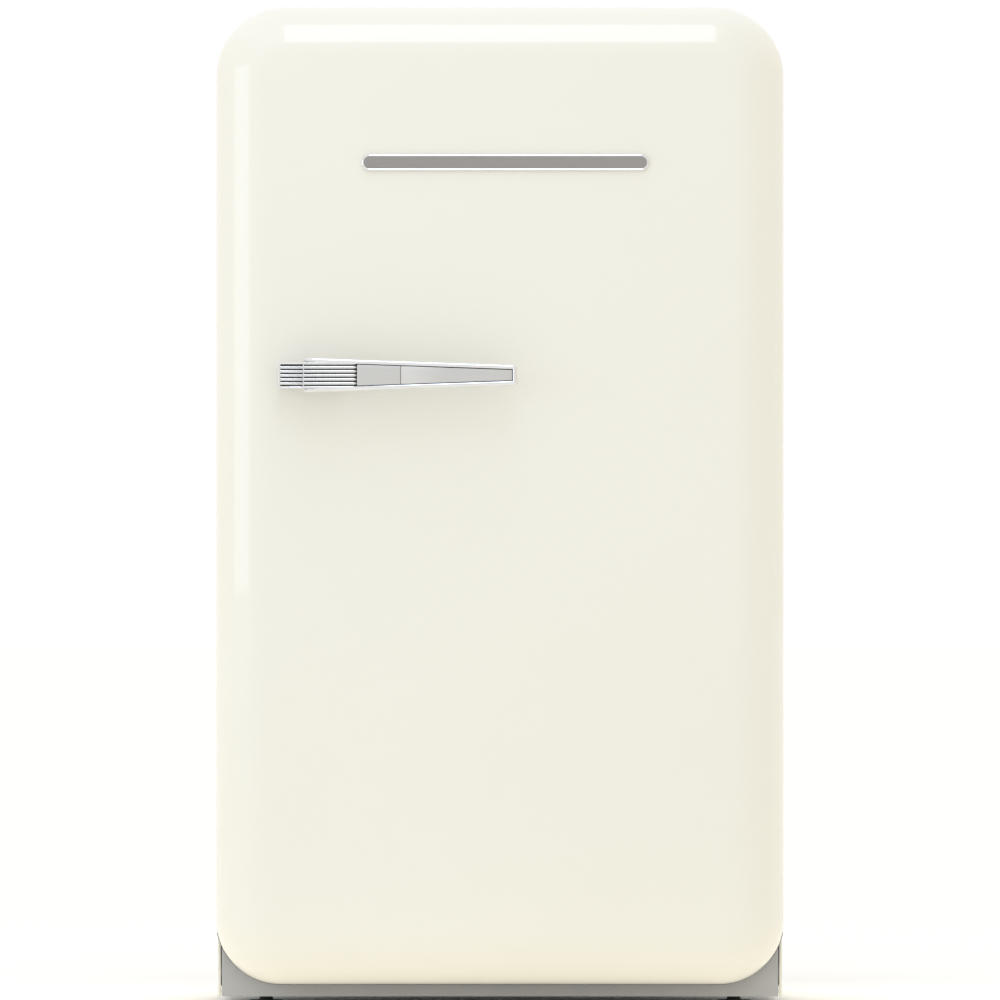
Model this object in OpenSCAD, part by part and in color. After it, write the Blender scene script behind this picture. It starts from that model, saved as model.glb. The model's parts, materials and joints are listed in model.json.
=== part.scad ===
// Retro single-door mini fridge: cabinet, pillow-shaped door on a right-hand hinge, chrome
// lever handle, shelves, crisper, ice box, cooling circuit, feet and rollers.
// Millimetres, +Z up, front faces -Y, origin at the centre of the footprint on the floor.

/* [Overall] */
// Width over the door
door_w = 543; // [535:1:560]
// Height from the floor to the top of the door
total_h = 960; // [940:1:980]
// Depth from the handle to the rear wall spacers
total_d = 632; // [620:1:660]
// Height of the cabinet's lower edge over the floor
foot_h = 12; // [10:1:16]

/* [Door] */
// Thickness of the door
door_t = 74; // [70:1:80]
// Height of the door's lower edge over the floor
door_z0 = 25; // [22:1:32]
// Radius of the upper corners, seen from the front
top_r = 67; // [55:1:80]
// Radius of the lower corners, seen from the front
low_r = 62; // [55:1:80]
// Radius of the rounded edge between face and sides
edge_r = 50; // [30:1:52]
// Gap between the door's back and the cabinet, filled by the gasket
door_gap = 12; // [10:1:14]

/* [Handle] */
// How far the handle stands out from the door's face
handle_out = 42; // [38:1:46]
// Length of the handle's lever
lever_l = 204; // [160:1:230]
// Height of the lever at its fixed end
lever_h0 = 33.5; // [28:0.5:38]
// Height of the lever at its free end
lever_h1 = 19.6; // [16:0.2:26]
// Left edge of the lever
lever_x0 = -187.5; // [-190:0.5:-150]
// Height of the lever's centre line over the floor
lever_z = 607; // [500:1:700]

/* [Cabinet] */
// Thickness of the sheet steel
sheet_t = 1.2; // [0.8:0.1:1.6]
// Thickness of the insulated walls
wall_t = 43; // [38:1:50]
// Top of the glass over the crisper
crisper_z = 304; // [300:1:320]
// Distance between the glass shelves
shelf_pitch = 154; // [140:1:158]

/* [Hidden] */

$fn = 48;
arc_n = 10;                 // facets in a quarter of a rounded outline
fit = 0.05;                 // radial clearance of a running fit
gap = 0.3;                  // gap between parts that pass each other

// Planes along Y, front to back
handle_y = -total_d / 2;
face_y = handle_y + handle_out;
door_back = face_y + door_t;
front_y = door_back + door_gap;
spacer_y = total_d / 2;
rear_y = spacer_y - 30;

// Cabinet outline
door_x = door_w / 2;
cab_x = door_x - 0.8;
cab_top = total_h - 2;
in_x = cab_x - sheet_t;                // inner face of the side sheets
in_top = cab_top - sheet_t;
plinth_top = 72;
plinth_x = door_x - 4.5;

// Inner liner: the cold compartment, with a step over the compressor bay
liner_t = 2;
cold_x = in_x - wall_t - liner_t;
cold_z0 = 118;
cold_z1 = cab_top - wall_t - liner_t;
cold_y1 = rear_y - wall_t - 5;
cold_r = 18;
step_y = 73;
step_z = 296;
bay_y = 120;
bay_z = 250;
frame_t = 2;
drawer_x = cold_x - 10.5;

// Shelves
shelf_t = 4;
shelf_y0 = -104;
ledge_y0 = shelf_y0 + 14;
levels = [crisper_z, crisper_z + shelf_pitch, crisper_z + 2 * shelf_pitch];

// Ice box
ice_x = 210;
ice_y0 = 34;
ice_z0 = 778;
ice_z1 = cold_z1 - 8;
ice_t = 1.5;
flap_y = ice_y0 - 8;
flap_z = ice_z1 - 19;
flap_h = flap_z - ice_z0 - 8;

// Lamp and thermostat housing on the right wall
lamp_x0 = 199;
lamp_y0 = -138;
lamp_y1 = -20;
lamp_z0 = 655;
lamp_z1 = 745;
knob_y = -48;
knob_z = 705;
plunger_x = 208;
plunger_z = 728;

// Door hinge
hinge_y = (door_back + front_y) / 2;
hinge_zs = [170, 830];
knuckle_r = 4.6;
hinge_x = door_x - knuckle_r;
pin_r = 2.5;
leaf_t = 2.5;
leaf_x0 = 246;
leaf_x1 = 262;
leaf_h = 56;
knuckle_h = 20;

// Door liner: recess for the bins inside a raised rim
rim_x = 215;
rim_z0 = 133;
rim_z1 = 905;
rim_y = -150;
rim_t = 17;
skin_t = 2.5;
recess_x = rim_x - rim_t;
recess_z0 = rim_z0 + rim_t;
recess_z1 = rim_z1 - rim_t;
recess_y = -222;
bin_x = recess_x - 1.5;
bin_y0 = recess_y + gap;
bin_y1 = -118;
lid_y = -214;
lid_z = 790;

// Machine bay
plate_z = 22;
plate_t = 2;
comp_x = 60;
comp_y = 200;
comp_bolts = [for (sx = [-1, 1], sy = [-1, 1]) [comp_x + 82 * sx, comp_y + 38 * sy]];
drain_x = comp_x;
drain_y = comp_y + 15;
drier = [-120, 262, 120];       // lower end of the filter drier
line_ref = [1, 1.2, 0.9];       // no stretch of pipe is parallel to this
gland_x = -200;
gland_z = 44;

// Condenser at the back
coil_y = rear_y + 14;
coil_r = 2.4;
coil_rows = 8;
coil_pitch = 80;
coil_x = 190;
coil_z0 = 300;

// Feet and rollers
foot_x = 225;
foot_y = -150;
stud_r = 4;
roller_r = 10;
roller_y = 250;
axle_r = 2.5;

cream = [0.94, 0.93, 0.87];
white = [0.93, 0.93, 0.92];
grey = [0.66, 0.67, 0.68];
steel = [0.72, 0.73, 0.74];
dark = [0.12, 0.12, 0.13];
clear = [0.8, 0.9, 0.92, 0.4];
copper = [0.72, 0.45, 0.3];

// A box between two corners
module box(x0, x1, y0, y1, z0, z1) {
    translate([x0, y0, z0]) cube([x1 - x0, y1 - y0, z1 - z0]);
}

// A flat shape drawn in X and Z, from y0 to y1
module along_y(y0, y1) {
    translate([0, y1, 0]) rotate([90, 0, 0]) linear_extrude(y1 - y0) children();
}

// A flat shape drawn in Y and Z, from x0 to x1
module along_x(x0, x1) {
    translate([x0, 0, 0]) rotate([90, 0, 90]) linear_extrude(x1 - x0) children();
}

// A round bar along X, Y or Z from its end point
module bar_x(x0, x1, y, z, r) {
    translate([x0, y, z]) rotate([0, 90, 0]) cylinder(r = r, h = x1 - x0);
}
module bar_y(y0, y1, x, z, r) {
    translate([x, y1, z]) rotate([90, 0, 0]) cylinder(r = r, h = y1 - y0);
}
module bar_z(z0, z1, x, y, r) {
    translate([x, y, z0]) cylinder(r = r, h = z1 - z0);
}

// Both sides of the mid plane
module both_sides() {
    children();
    mirror([1, 0, 0]) children();
}

// One quarter of a rounded outline, or the sharp corner when r is 0
function quarter(cx, cz, r, a) = r <= 0
    ? [[cx, cz]]
    : [for (i = [0:arc_n]) [cx + r * cos(a + 90 * i / arc_n), cz + r * sin(a + 90 * i / arc_n)]];

// Outline of a rectangle with upper radius rt and lower radius rb
function outline(x, z0, z1, rt, rb) = concat(
    quarter(x - rt, z1 - rt, rt, 0), quarter(rt - x, z1 - rt, rt, 90),
    quarter(rb - x, z0 + rb, rb, 180), quarter(x - rb, z0 + rb, rb, 270));

// A ring between two rounded outlines of one centre, w wide
module ring(x, z0, z1, r, w) {
    difference() {
        polygon(outline(x, z0, z1, r, r));
        polygon(outline(x - w, z0 + w, z1 - w, max(r - w, 2), max(r - w, 2)));
    }
}

// An open-topped tray with walls of thickness t
module tray(x0, x1, y0, y1, z0, z1, t) {
    difference() {
        box(x0, x1, y0, y1, z0, z1);
        box(x0 + t, x1 - t, y0 + t, y1 - t, z0 + t, z1 + 1);
    }
}

// A round tube of n sides swept along points; ref is never parallel to the path
function unit(v) = v / norm(v);
function heading(p, i) = unit(p[min(i + 1, len(p) - 1)] - p[max(i - 1, 0)]);
function loop_at(c, t, ref, r, n) =
    let (u = unit(cross(ref, t)), v = cross(t, u))
    [for (k = [0:n - 1]) c + r * (cos(360 * k / n) * u + sin(360 * k / n) * v)];
module tube(p, ref, r, n = 8) {
    last = len(p) - 1;
    polyhedron(
        points = [for (i = [0:last]) each loop_at(p[i], heading(p, i), ref, r, n)],
        faces = concat(
            [[for (k = [0:n - 1]) k]],
            [for (i = [0:last - 1], k = [0:n - 1])
                [i * n + k, i * n + n + k, i * n + n + (k + 1) % n, i * n + (k + 1) % n]],
            [[for (k = [n - 1:-1:0]) last * n + k]]));
}

// Points of a path with its corners rounded to radius r
function rounded(p, r) = concat([p[0]],
    [for (i = [1:len(p) - 2])
        let (a = unit(p[i - 1] - p[i]), b = unit(p[i + 1] - p[i]),
            half = acos(a * b) / 2, reach = r / tan(half), c = p[i] + unit(a + b) * r / sin(half),
            s = p[i] + a * reach - c, e = p[i] + b * reach - c, turn = 180 - 2 * half)
        each [for (k = [0:3]) c + (s * sin(turn * (1 - k / 3)) + e * sin(turn * k / 3)) / sin(turn)]],
    [p[len(p) - 1]]);

// The door's pillow shape, inset by g on every side, down to the plane y1
module pillow(g, y1) {
    h = y1 - face_y - g;
    er = edge_r - g;
    for_corner = [
        [door_x - top_r, total_h - top_r, top_r - g], [top_r - door_x, total_h - top_r, top_r - g],
        [door_x - low_r, door_z0 + low_r, low_r - g], [low_r - door_x, door_z0 + low_r, low_r - g]];
    hull() for (c = for_corner)
        translate([c[0], y1, c[1]]) rotate([90, 0, 0]) rotate_extrude($fn = 40)
            polygon(concat([[0, 0], [c[2], 0]],
                [for (i = [0:8]) [c[2] - er + er * cos(i * 11.25), h - er + er * sin(i * 11.25)]],
                [[0, h]]));
}

// ---- Cabinet ----

module cabinet_shell() {
    color(cream) along_y(front_y, rear_y) difference() {
        polygon(outline(cab_x, foot_h, cab_top, top_r, 0));
        polygon(outline(in_x, foot_h - 1, in_top, top_r - sheet_t, 0));
    }
}

module back_panel() {
    color(steel) along_y(rear_y - sheet_t, rear_y)
        polygon(outline(in_x - 0.2, bay_z + sheet_t, in_top - 0.2, top_r - sheet_t - 0.2, 0));
}

module base_plate() {
    color(steel) difference() {
        box(0.2 - in_x, in_x - 0.2, front_y + 4.2, rear_y, plate_z, plate_z + plate_t);
        both_sides() bar_z(plate_z - 1, plate_z + 3, foot_x, foot_y, stud_r + fit);
        for (p = comp_bolts) bar_z(plate_z - 1, plate_z + 3, p[0], p[1], 4.02);
    }
}

// Upright strip that closes the foot of the machine bay and carries the cord gland
module rear_lip() {
    color(steel) difference() {
        box(0.2 - in_x, in_x - 0.2, rear_y - plate_t, rear_y, plate_z + plate_t, gland_z + 20);
        bar_y(rear_y - 3, rear_y + 1, gland_x, gland_z, 6.02);
    }
}

// Nuts on the base plate that the levelling feet screw into
module foot_nuts() {
    color(steel) both_sides() difference() {
        bar_z(plate_z + plate_t, plate_z + 12, foot_x, foot_y, 9);
        bar_z(plate_z, plate_z + 13, foot_x, foot_y, stud_r + fit);
    }
}

module bay_panel() {
    color(steel) difference() {
        along_x(0.2 - in_x, in_x - 0.2) polygon([
            [front_y + frame_t, plinth_top], [bay_y, plinth_top], [bay_y, bay_z], [rear_y, bay_z],
            [rear_y, bay_z + sheet_t], [bay_y - sheet_t, bay_z + sheet_t],
            [bay_y - sheet_t, plinth_top + sheet_t], [front_y + frame_t, plinth_top + sheet_t]]);
        bar_z(bay_z - 1, bay_z + 3, drain_x, drain_y, 6.02);
    }
}

// The cold compartment's space from the plane y0, grown by g on every side
module cold_space(g, y0) {
    difference() {
        along_y(y0, cold_y1 + g)
            polygon(outline(cold_x + g, cold_z0 - g, cold_z1 + g, cold_r + g, cold_r + g));
        box(-door_x, door_x, step_y + g, rear_y, 0, step_z - g);
    }
}

module insulation_foam() {
    color([0.95, 0.9, 0.7]) difference() {
        along_y(front_y + frame_t, rear_y - sheet_t)
            polygon(outline(in_x - 0.2, plinth_top + sheet_t, in_top - 0.2, top_r - sheet_t - 0.2, 0));
        box(-door_x, door_x, bay_y - sheet_t, rear_y + 1, 0, bay_z + sheet_t);
        cold_space(liner_t, front_y - 1);
        bar_z(bay_z - 1, step_z + 1, drain_x, drain_y, 6.02);
    }
}

module inner_liner() {
    color(white) difference() {
        cold_space(liner_t, front_y + frame_t);
        cold_space(0, front_y);
        bar_z(bay_z, step_z + 1, drain_x, drain_y, 6.02);
    }
}

// Strips along the side walls that carry the glass
module shelf_rails() {
    color(white) intersection() {
        for (z = levels) both_sides()
            box(cold_x - 8, cold_x, ledge_y0, cold_y1, z - shelf_t - 6, z - shelf_t);
        cold_space(0, front_y);
    }
}

module front_frame() {
    color(grey) along_y(front_y, front_y + frame_t) difference() {
        polygon(outline(in_x - 0.2, plinth_top + 0.2, in_top - 0.2, top_r - sheet_t - 0.2, 0));
        polygon(outline(cold_x, cold_z0, cold_z1, cold_r, cold_r));
    }
}

module plinth() {
    color(grey) union() {
        box(-plinth_x, plinth_x, front_y, front_y + 2.5, foot_h, plinth_top);
        box(-plinth_x, plinth_x, front_y, front_y + 14, plinth_top - 2, plinth_top);
    }
}

// ---- Hinges: each has two fixed knuckles, with the door's knuckle between them ----

module cabinet_hinge_leaves() {
    color(steel) for (z = hinge_zs) difference() {
        union() {
            box(leaf_x0, leaf_x1, front_y - leaf_t, front_y, z - leaf_h / 2, z + leaf_h / 2);
            for (s = [-1, 1]) {
                zc = z + s * knuckle_h;
                box(leaf_x1 - 1, hinge_x, front_y - leaf_t, front_y - 1, zc - 8, zc + 8);
                bar_z(zc - 8, zc + 8, hinge_x, hinge_y, knuckle_r);
            }
        }
        bar_z(z - leaf_h, z + leaf_h, hinge_x, hinge_y, pin_r + 0.02);
        for (s = [-1, 1]) bar_y(front_y - 3, front_y + 1, leaf_x0 + 7, z + s * 18, 2.1);
    }
}

module door_hinge_leaves() {
    color(steel) for (z = hinge_zs) difference() {
        union() {
            box(leaf_x0, leaf_x1 - 2, door_back, door_back + leaf_t, z - leaf_h / 2, z + leaf_h / 2);
            box(leaf_x1 - 3, hinge_x, door_back + 1, door_back + leaf_t, z - 11.5, z + 11.5);
            bar_z(z - 11.5, z + 11.5, hinge_x, hinge_y, knuckle_r);
        }
        bar_z(z - leaf_h, z + leaf_h, hinge_x, hinge_y, pin_r + fit);
    }
}

module hinge_pins() {
    color(steel) for (z = hinge_zs) union() {
        bar_z(z - knuckle_h - 8.2, z + knuckle_h + 9, hinge_x, hinge_y, pin_r);
        bar_z(z + knuckle_h + 8, z + knuckle_h + 10.5, hinge_x, hinge_y, 4);
    }
}

module hinge_screws() {
    color(steel) for (z = hinge_zs, s = [-1, 1]) union() {
        bar_y(front_y - leaf_t, front_y, leaf_x0 + 7, z + s * 18, 2);
        bar_y(front_y - leaf_t - 1.8, front_y - leaf_t, leaf_x0 + 7, z + s * 18, 4);
    }
}

// ---- Shelves ----

module glass_shelf(z) {
    color(clear) box(-cold_x + 1.5, cold_x - 1.5, shelf_y0 + 6, cold_y1 - 12, z - shelf_t, z);
}

// Front edge strip that grips the glass in a groove
module shelf_trim(z) {
    color(grey) difference() {
        box(-cold_x + 1.5, cold_x - 1.5, shelf_y0, shelf_y0 + 12, z - shelf_t - 5, z + 3);
        box(-cold_x, cold_x, shelf_y0 + 6, shelf_y0 + 13, z - shelf_t, z);
    }
}

// Two shelves and, lowest, the glass over the crisper
module glass_shelves() {
    for (z = levels) glass_shelf(z);
}

module shelf_trims() {
    for (z = levels) shelf_trim(z);
}

// Outline of the drawer, g inside its walls, with the liner's rounding at the bottom
module drawer_outline(g, top) {
    polygon(outline(drawer_x - g, cold_z0 + gap + g, top, 0, cold_r - g));
}

module crisper_drawer() {
    top = crisper_z - 24;
    color(clear) union() {
        difference() {
            along_y(shelf_y0 + 4, step_y - 6) drawer_outline(0, top);
            along_y(shelf_y0 + 7, step_y - 9) drawer_outline(3, top + 1);
        }
        difference() {
            along_y(shelf_y0, shelf_y0 + 5) drawer_outline(0, top + 12);
            box(-60, 60, shelf_y0 - 1, shelf_y0 + 2.5, top - 20, top);
        }
    }
}

// ---- Ice box ----

module ice_box() {
    color([0.8, 0.82, 0.84]) union() {
        difference() {
            box(-ice_x, ice_x, ice_y0, cold_y1 - 6, ice_z0, ice_z1);
            box(ice_t - ice_x, ice_x - ice_t, ice_y0 - 1, cold_y1 - 6 - ice_t,
                ice_z0 + ice_t, ice_z1 - ice_t);
        }
        for (x = [-180, 180], y = [ice_y0 + 20, cold_y1 - 26]) bar_z(ice_z1 - 0.5, cold_z1, x, y, 5);
    }
}

module ice_flap_frame() {
    color(white) difference() {
        union() {
            difference() {
                box(-ice_x - 2, ice_x + 2, ice_y0 - 12, ice_y0, ice_z0 - 2, ice_z1 + 2);
                box(7 - ice_x, ice_x - 7, ice_y0 - 13, ice_y0 + 1, ice_z0 + 7, ice_z1 - 13);
            }
            box(-30, 30, flap_y + 3 + gap, ice_y0, ice_z0 + 6, ice_z0 + 16);
        }
        both_sides() bar_x(ice_x - 8, ice_x - 3, flap_y, flap_z, pin_r + fit);
    }
}

// Top-hung flap that hangs shut on its own weight
module ice_flap() {
    color([0.85, 0.92, 0.95, 0.8]) union() {
        difference() {
            box(9 - ice_x, ice_x - 9, flap_y - 3, flap_y + 3, flap_z - flap_h, flap_z + 4);
            box(-45, 45, flap_y - 4, flap_y - 1, flap_z - flap_h + 10, flap_z - flap_h + 26);
        }
        both_sides() bar_x(ice_x - 9.5, ice_x - 4, flap_y, flap_z, pin_r);
    }
}

// ---- Lamp, thermostat and door switch ----

module lamp_housing() {
    color(white) difference() {
        box(lamp_x0, cold_x, lamp_y0, lamp_y1, lamp_z0, lamp_z1);
        box(lamp_x0 + 2, cold_x + 1, lamp_y0 + 2, lamp_y1 - 2, lamp_z0 + 2, lamp_z1 - 2);
        box(lamp_x0 - 1, lamp_x0 + 3, lamp_y0 + 12, lamp_y0 + 62, lamp_z0 + 12, lamp_z1 - 26);
        bar_x(lamp_x0 - 1, lamp_x0 + 3, knob_y, knob_z, 3 + fit);
        bar_y(lamp_y0 - 1, lamp_y0 + 3, plunger_x, plunger_z, 3 + fit);
    }
}

module lamp_lens() {
    color([0.97, 0.97, 0.9, 0.7]) union() {
        box(lamp_x0, lamp_x0 + 2, lamp_y0 + 12.1, lamp_y0 + 61.9, lamp_z0 + 12.1, lamp_z1 - 26.1);
        box(lamp_x0 + 2, lamp_x0 + 3.2, lamp_y0 + 9, lamp_y0 + 65, lamp_z0 + 9, lamp_z1 - 23);
    }
}

module lamp_bulb() {
    color([1, 0.96, 0.85]) union() {
        bar_y(lamp_y0 + 25, lamp_y0 + 50, 213, 690, 8);
        translate([213, lamp_y0 + 25, 690]) sphere(r = 8);
        bar_y(lamp_y0 + 49, lamp_y0 + 72, 213, 690, 6.5);
        box(206, 220, lamp_y0 + 66, lamp_y0 + 74, 683, 697);
    }
}

module thermostat_knob() {
    color(grey) union() {
        bar_x(lamp_x0 - 11, lamp_x0 - gap, knob_y, knob_z, 14);
        box(lamp_x0 - 15, lamp_x0 - 10.5, knob_y - 3, knob_y + 3, knob_z - 12, knob_z + 12);
        bar_x(lamp_x0 - 1, lamp_x0 + 10, knob_y, knob_z, 3);
    }
}

module switch_plunger() {
    color(white) union() {
        bar_y(rim_y + gap, lamp_y0 + 20, plunger_x, plunger_z, 3);
        bar_y(lamp_y0 + 14, lamp_y0 + 17, plunger_x, plunger_z, 5);
    }
}

// ---- Machine bay ----

module compressor() {
    color(dark) translate([comp_x, comp_y, plate_z + plate_t]) rotate_extrude()
        polygon([[0, 13], [45, 13], [57, 24], [60, 36], [60, 88], [64, 88], [64, 94], [60, 94],
            [60, 140], [53, 158], [38, 168], [0, 171]]);
}

module compressor_bracket() {
    z = plate_z + plate_t + 10;
    color(dark) difference() {
        box(comp_x - 94, comp_x + 94, comp_y - 50, comp_y + 50, z, z + 3);
        for (p = comp_bolts) bar_z(z - 1, z + 4, p[0], p[1], 4.5);
    }
}

module compressor_grommets() {
    z = plate_z + plate_t;
    color([0.05, 0.05, 0.05]) for (p = comp_bolts) difference() {
        bar_z(z, z + 10, p[0], p[1], 10);
        bar_z(z - 1, z + 11, p[0], p[1], 4.5);
    }
}

module compressor_bolts() {
    z = plate_z + plate_t;
    color(steel) for (p = comp_bolts) union() {
        bar_z(plate_z - 3, z + 15, p[0], p[1], 4);
        translate([p[0], p[1], z + 13]) cylinder(r = 7, h = 5, $fn = 6);
    }
}

module relay_cover() {
    color(dark) difference() {
        box(comp_x + 64.5, comp_x + 96, comp_y - 26, comp_y + 26, 84, 140);
        box(comp_x + 60, comp_x + 93, comp_y - 23, comp_y + 23, 87, 137);
    }
}

module drip_tray() {
    z = plate_z + plate_t + 171.2;
    color([0.2, 0.2, 0.21]) tray(comp_x - 62, comp_x + 62, comp_y - 55, comp_y + 60, z, z + 24, 2);
}

module drain_tube() {
    color(grey) difference() {
        union() {
            bar_z(226, step_z + 1, drain_x, drain_y, 6);
            bar_z(step_z, step_z + 2, drain_x, drain_y, 11);
        }
        bar_z(225, step_z + 3, drain_x, drain_y, 4.4);
    }
}

module filter_drier() {
    color(copper) translate(drier) rotate_extrude()
        polygon([[0, 0], [2.6, 0], [3, 6], [9, 16], [9, 74], [3, 84], [2.6, 90], [0, 90]]);
}

// Discharge line to the condenser's top, liquid line to the drier, suction line and capillary
// that rise into the insulation
module refrigerant_lines() {
    low_end = [-coil_x - 0.2, coil_y, coil_z0];
    top_end = [-coil_x - 0.2, coil_y, coil_z0 + (coil_rows - 1) * coil_pitch];
    color(copper) {
        tube(rounded([[comp_x - 61, comp_y, 150], [-30, comp_y, 150], [-30, 270, 150],
            [-30, 270, 236], [-245, 270, 236], [-245, coil_y, 236], [-245, coil_y, top_end[2]],
            top_end], 12), line_ref, coil_r);
        tube(rounded([low_end, [-214, coil_y, coil_z0], [-214, coil_y, 222], [-214, drier[1], 222],
            [drier[0], drier[1], 222], drier + [0, 0, 90.2]], 10), line_ref, coil_r);
        tube(rounded([[comp_x + 40, comp_y + 48.5, 122], [comp_x + 40, 270, 122],
            [comp_x + 40, 270, bay_z - 0.2]], 12), line_ref, 3);
        tube(rounded([drier - [0, 0, 0.2], drier - [0, 0, 36], drier - [0, 32, 36],
            [drier[0], drier[1] - 32, bay_z - 0.2]], 12), line_ref, 1.4);
    }
}

// Rows joined by half-circle bends
function coil_row(i) = let (s = i % 2 == 0 ? 1 : -1, z = coil_z0 + i * coil_pitch)
    concat([[-s * coil_x, coil_y, z], [0, coil_y, z]],
        i < coil_rows - 1
            ? [for (k = [0:8]) [s * (coil_x + coil_pitch / 2 * sin(22.5 * k)), coil_y,
                z + coil_pitch / 2 * (1 - cos(22.5 * k))]]
            : [[s * coil_x, coil_y, z]]);
function coil_path() = [for (i = [0:coil_rows - 1])
    each [for (k = [(i == 0 ? 0 : 1):len(coil_row(i)) - 1]) coil_row(i)[k]]];

module condenser_coil() {
    color(dark) tube(coil_path(), [0, 1, 0], coil_r);
}

module condenser_wires() {
    color(dark) for (x = [-165:30:165], s = [-1, 1])
        bar_z(coil_z0 - 20, coil_z0 + (coil_rows - 1) * coil_pitch + 20,
            x, coil_y + s * (coil_r + 1.05), 0.95);
}

module condenser_brackets() {
    color(dark) for (x = [-150, 150], row = [1, coil_rows - 2]) {
        z = coil_z0 + row * coil_pitch;
        difference() {
            box(x - 6, x + 6, rear_y, coil_y + 6, z - 9, z + 9);
            box(x - 7, x + 7, coil_y - coil_r - 0.2, coil_y + coil_r + 0.2, z - coil_r - 0.2, z + 10);
        }
    }
}

module wall_spacers() {
    color(dark) both_sides() union() {
        bar_y(rear_y, spacer_y - 3, 252, 900, 8);
        bar_y(spacer_y - 4, spacer_y, 252, 900, 11);
    }
}

// Grommet where the power cord leaves the cabinet
module cord_gland() {
    color(dark) difference() {
        union() {
            bar_y(rear_y - 5, rear_y + 8, gland_x, gland_z, 6);
            bar_y(rear_y, rear_y + 3, gland_x, gland_z, 9);
            bar_y(rear_y - 5, rear_y - plate_t, gland_x, gland_z, 9);
        }
        bar_y(rear_y - 6, rear_y + 9, gland_x, gland_z, 3.4);
    }
}

// ---- Feet and rollers ----

module roller_brackets() {
    color(steel) both_sides() for (x = [foot_x - 13, foot_x + 10]) difference() {
        box(x, x + 3, roller_y - 11, roller_y + 11, 3, plate_z);
        bar_x(x - 1, x + 4, roller_y, roller_r, axle_r + 0.02);
    }
}

module roller_axles() {
    color(steel) both_sides() bar_x(foot_x - 15, foot_x + 15, roller_y, roller_r, axle_r);
}

module roller(x) {
    color(dark) difference() {
        bar_x(x - 8, x + 8, roller_y, roller_r, roller_r);
        bar_x(x - 9, x + 9, roller_y, roller_r, axle_r + fit);
    }
}

module rear_roller_left() { roller(-foot_x); }
module rear_roller_right() { roller(foot_x); }

// Threaded levelling foot, turned by its pad
module levelling_foot(x) {
    color(dark) union() {
        translate([x, foot_y, 0]) cylinder(r1 = 15, r2 = 17, h = 3);
        bar_z(3, 8, x, foot_y, 17);
        bar_z(7, 58, x, foot_y, stud_r);
    }
}

module front_foot_left() { levelling_foot(-foot_x); }
module front_foot_right() { levelling_foot(foot_x); }

// ---- Door ----

module door_skin() {
    color(cream) difference() {
        pillow(0, door_back);
        pillow(sheet_t, door_back + 1);
    }
}

module door_foam() {
    color([0.95, 0.9, 0.7]) union() {
        difference() {
            pillow(sheet_t + 0.2, door_back - 3.2);
            box(-rim_x - 0.2, rim_x + 0.2, recess_y - 2.2, 0, rim_z0 - 0.2, rim_z1 + 0.2);
        }
        along_y(recess_y - 3, rim_y - skin_t - 0.2) difference() {
            polygon(outline(rim_x - skin_t - 0.2, rim_z0 + skin_t + 0.2, rim_z1 - skin_t - 0.2, 0, 0));
            polygon(outline(recess_x + skin_t + 0.2, recess_z0 - skin_t - 0.2,
                recess_z1 + skin_t + 0.2, 0, 0));
        }
    }
}

module door_liner() {
    color(white) difference() {
        union() {
            along_y(door_back - 3, door_back)
                polygon(outline(door_x - 1.7, door_z0 + 1.7, total_h - 1.7, top_r - 1.7, low_r - 1.7));
            box(-rim_x, rim_x, recess_y - 2, rim_y, rim_z0, rim_z1);
        }
        along_y(recess_y - 3, rim_y - skin_t)
            polygon(outline(rim_x - skin_t, rim_z0 + skin_t, rim_z1 - skin_t, 0, 0));
        along_y(recess_y - 3, rim_y + 1)
            polygon(outline(recess_x + skin_t, recess_z0 - skin_t, recess_z1 + skin_t, 0, 0));
    }
}

// Pan inside the rim that holds the bins and the dairy lid's pins
module bin_recess() {
    color(white) difference() {
        box(-recess_x - skin_t, recess_x + skin_t, recess_y - 2, rim_y,
            recess_z0 - skin_t, recess_z1 + skin_t);
        box(-recess_x, recess_x, recess_y, rim_y + 1, recess_z0, recess_z1);
        both_sides() bar_x(recess_x - 1, recess_x + 3, lid_y, lid_z, pin_r + fit);
    }
}

module door_gasket() {
    color([0.85, 0.85, 0.84]) along_y(door_back, front_y - gap)
        ring(239, cold_z0 - 14, cold_z1 + 14, 30, 12);
}

// Foot of the handle: a block beside the lever and the post behind it
module handle_base() {
    color([0.8, 0.8, 0.8]) union() {
        box(lever_x0 - 24, lever_x0, face_y - 26, face_y, lever_z - 13.4, lever_z + 13.4);
        box(lever_x0 - 0.5, lever_x0 + 36, face_y - 24, face_y, lever_z - 12, lever_z + 12);
    }
}

lever_side = [[lever_x0, -lever_h0 / 2], [lever_x0 + lever_l - 4, -lever_h1 / 2],
    [lever_x0 + lever_l, 4 - lever_h1 / 2], [lever_x0 + lever_l, lever_h1 / 2 - 4],
    [lever_x0 + lever_l - 4, lever_h1 / 2], [lever_x0, lever_h0 / 2]];

module handle_lever() {
    color([0.85, 0.85, 0.86]) difference() {
        translate([0, 0, lever_z]) along_y(handle_y, face_y - 24) polygon(lever_side);
        translate([0, 0, lever_z]) along_y(handle_y - 1, handle_y + 1) lever_inset(4);
    }
}

// Outline of the satin inlay, g inside the lever's edge
module lever_inset(g) {
    polygon([[lever_x0 + g, g - lever_h0 / 2], [lever_x0 + lever_l - g, g - lever_h1 / 2],
        [lever_x0 + lever_l - g, lever_h1 / 2 - g], [lever_x0 + g, lever_h0 / 2 - g]]);
}

module handle_panel() {
    color(grey) translate([0, 0, lever_z]) along_y(handle_y + 0.4, handle_y + 1) lever_inset(4.1);
}

module badge() {
    color([0.8, 0.8, 0.8]) translate([5, 0, 0]) along_y(face_y - 3, face_y)
        polygon(outline(137, 802, 818, 8, 8));
}

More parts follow.
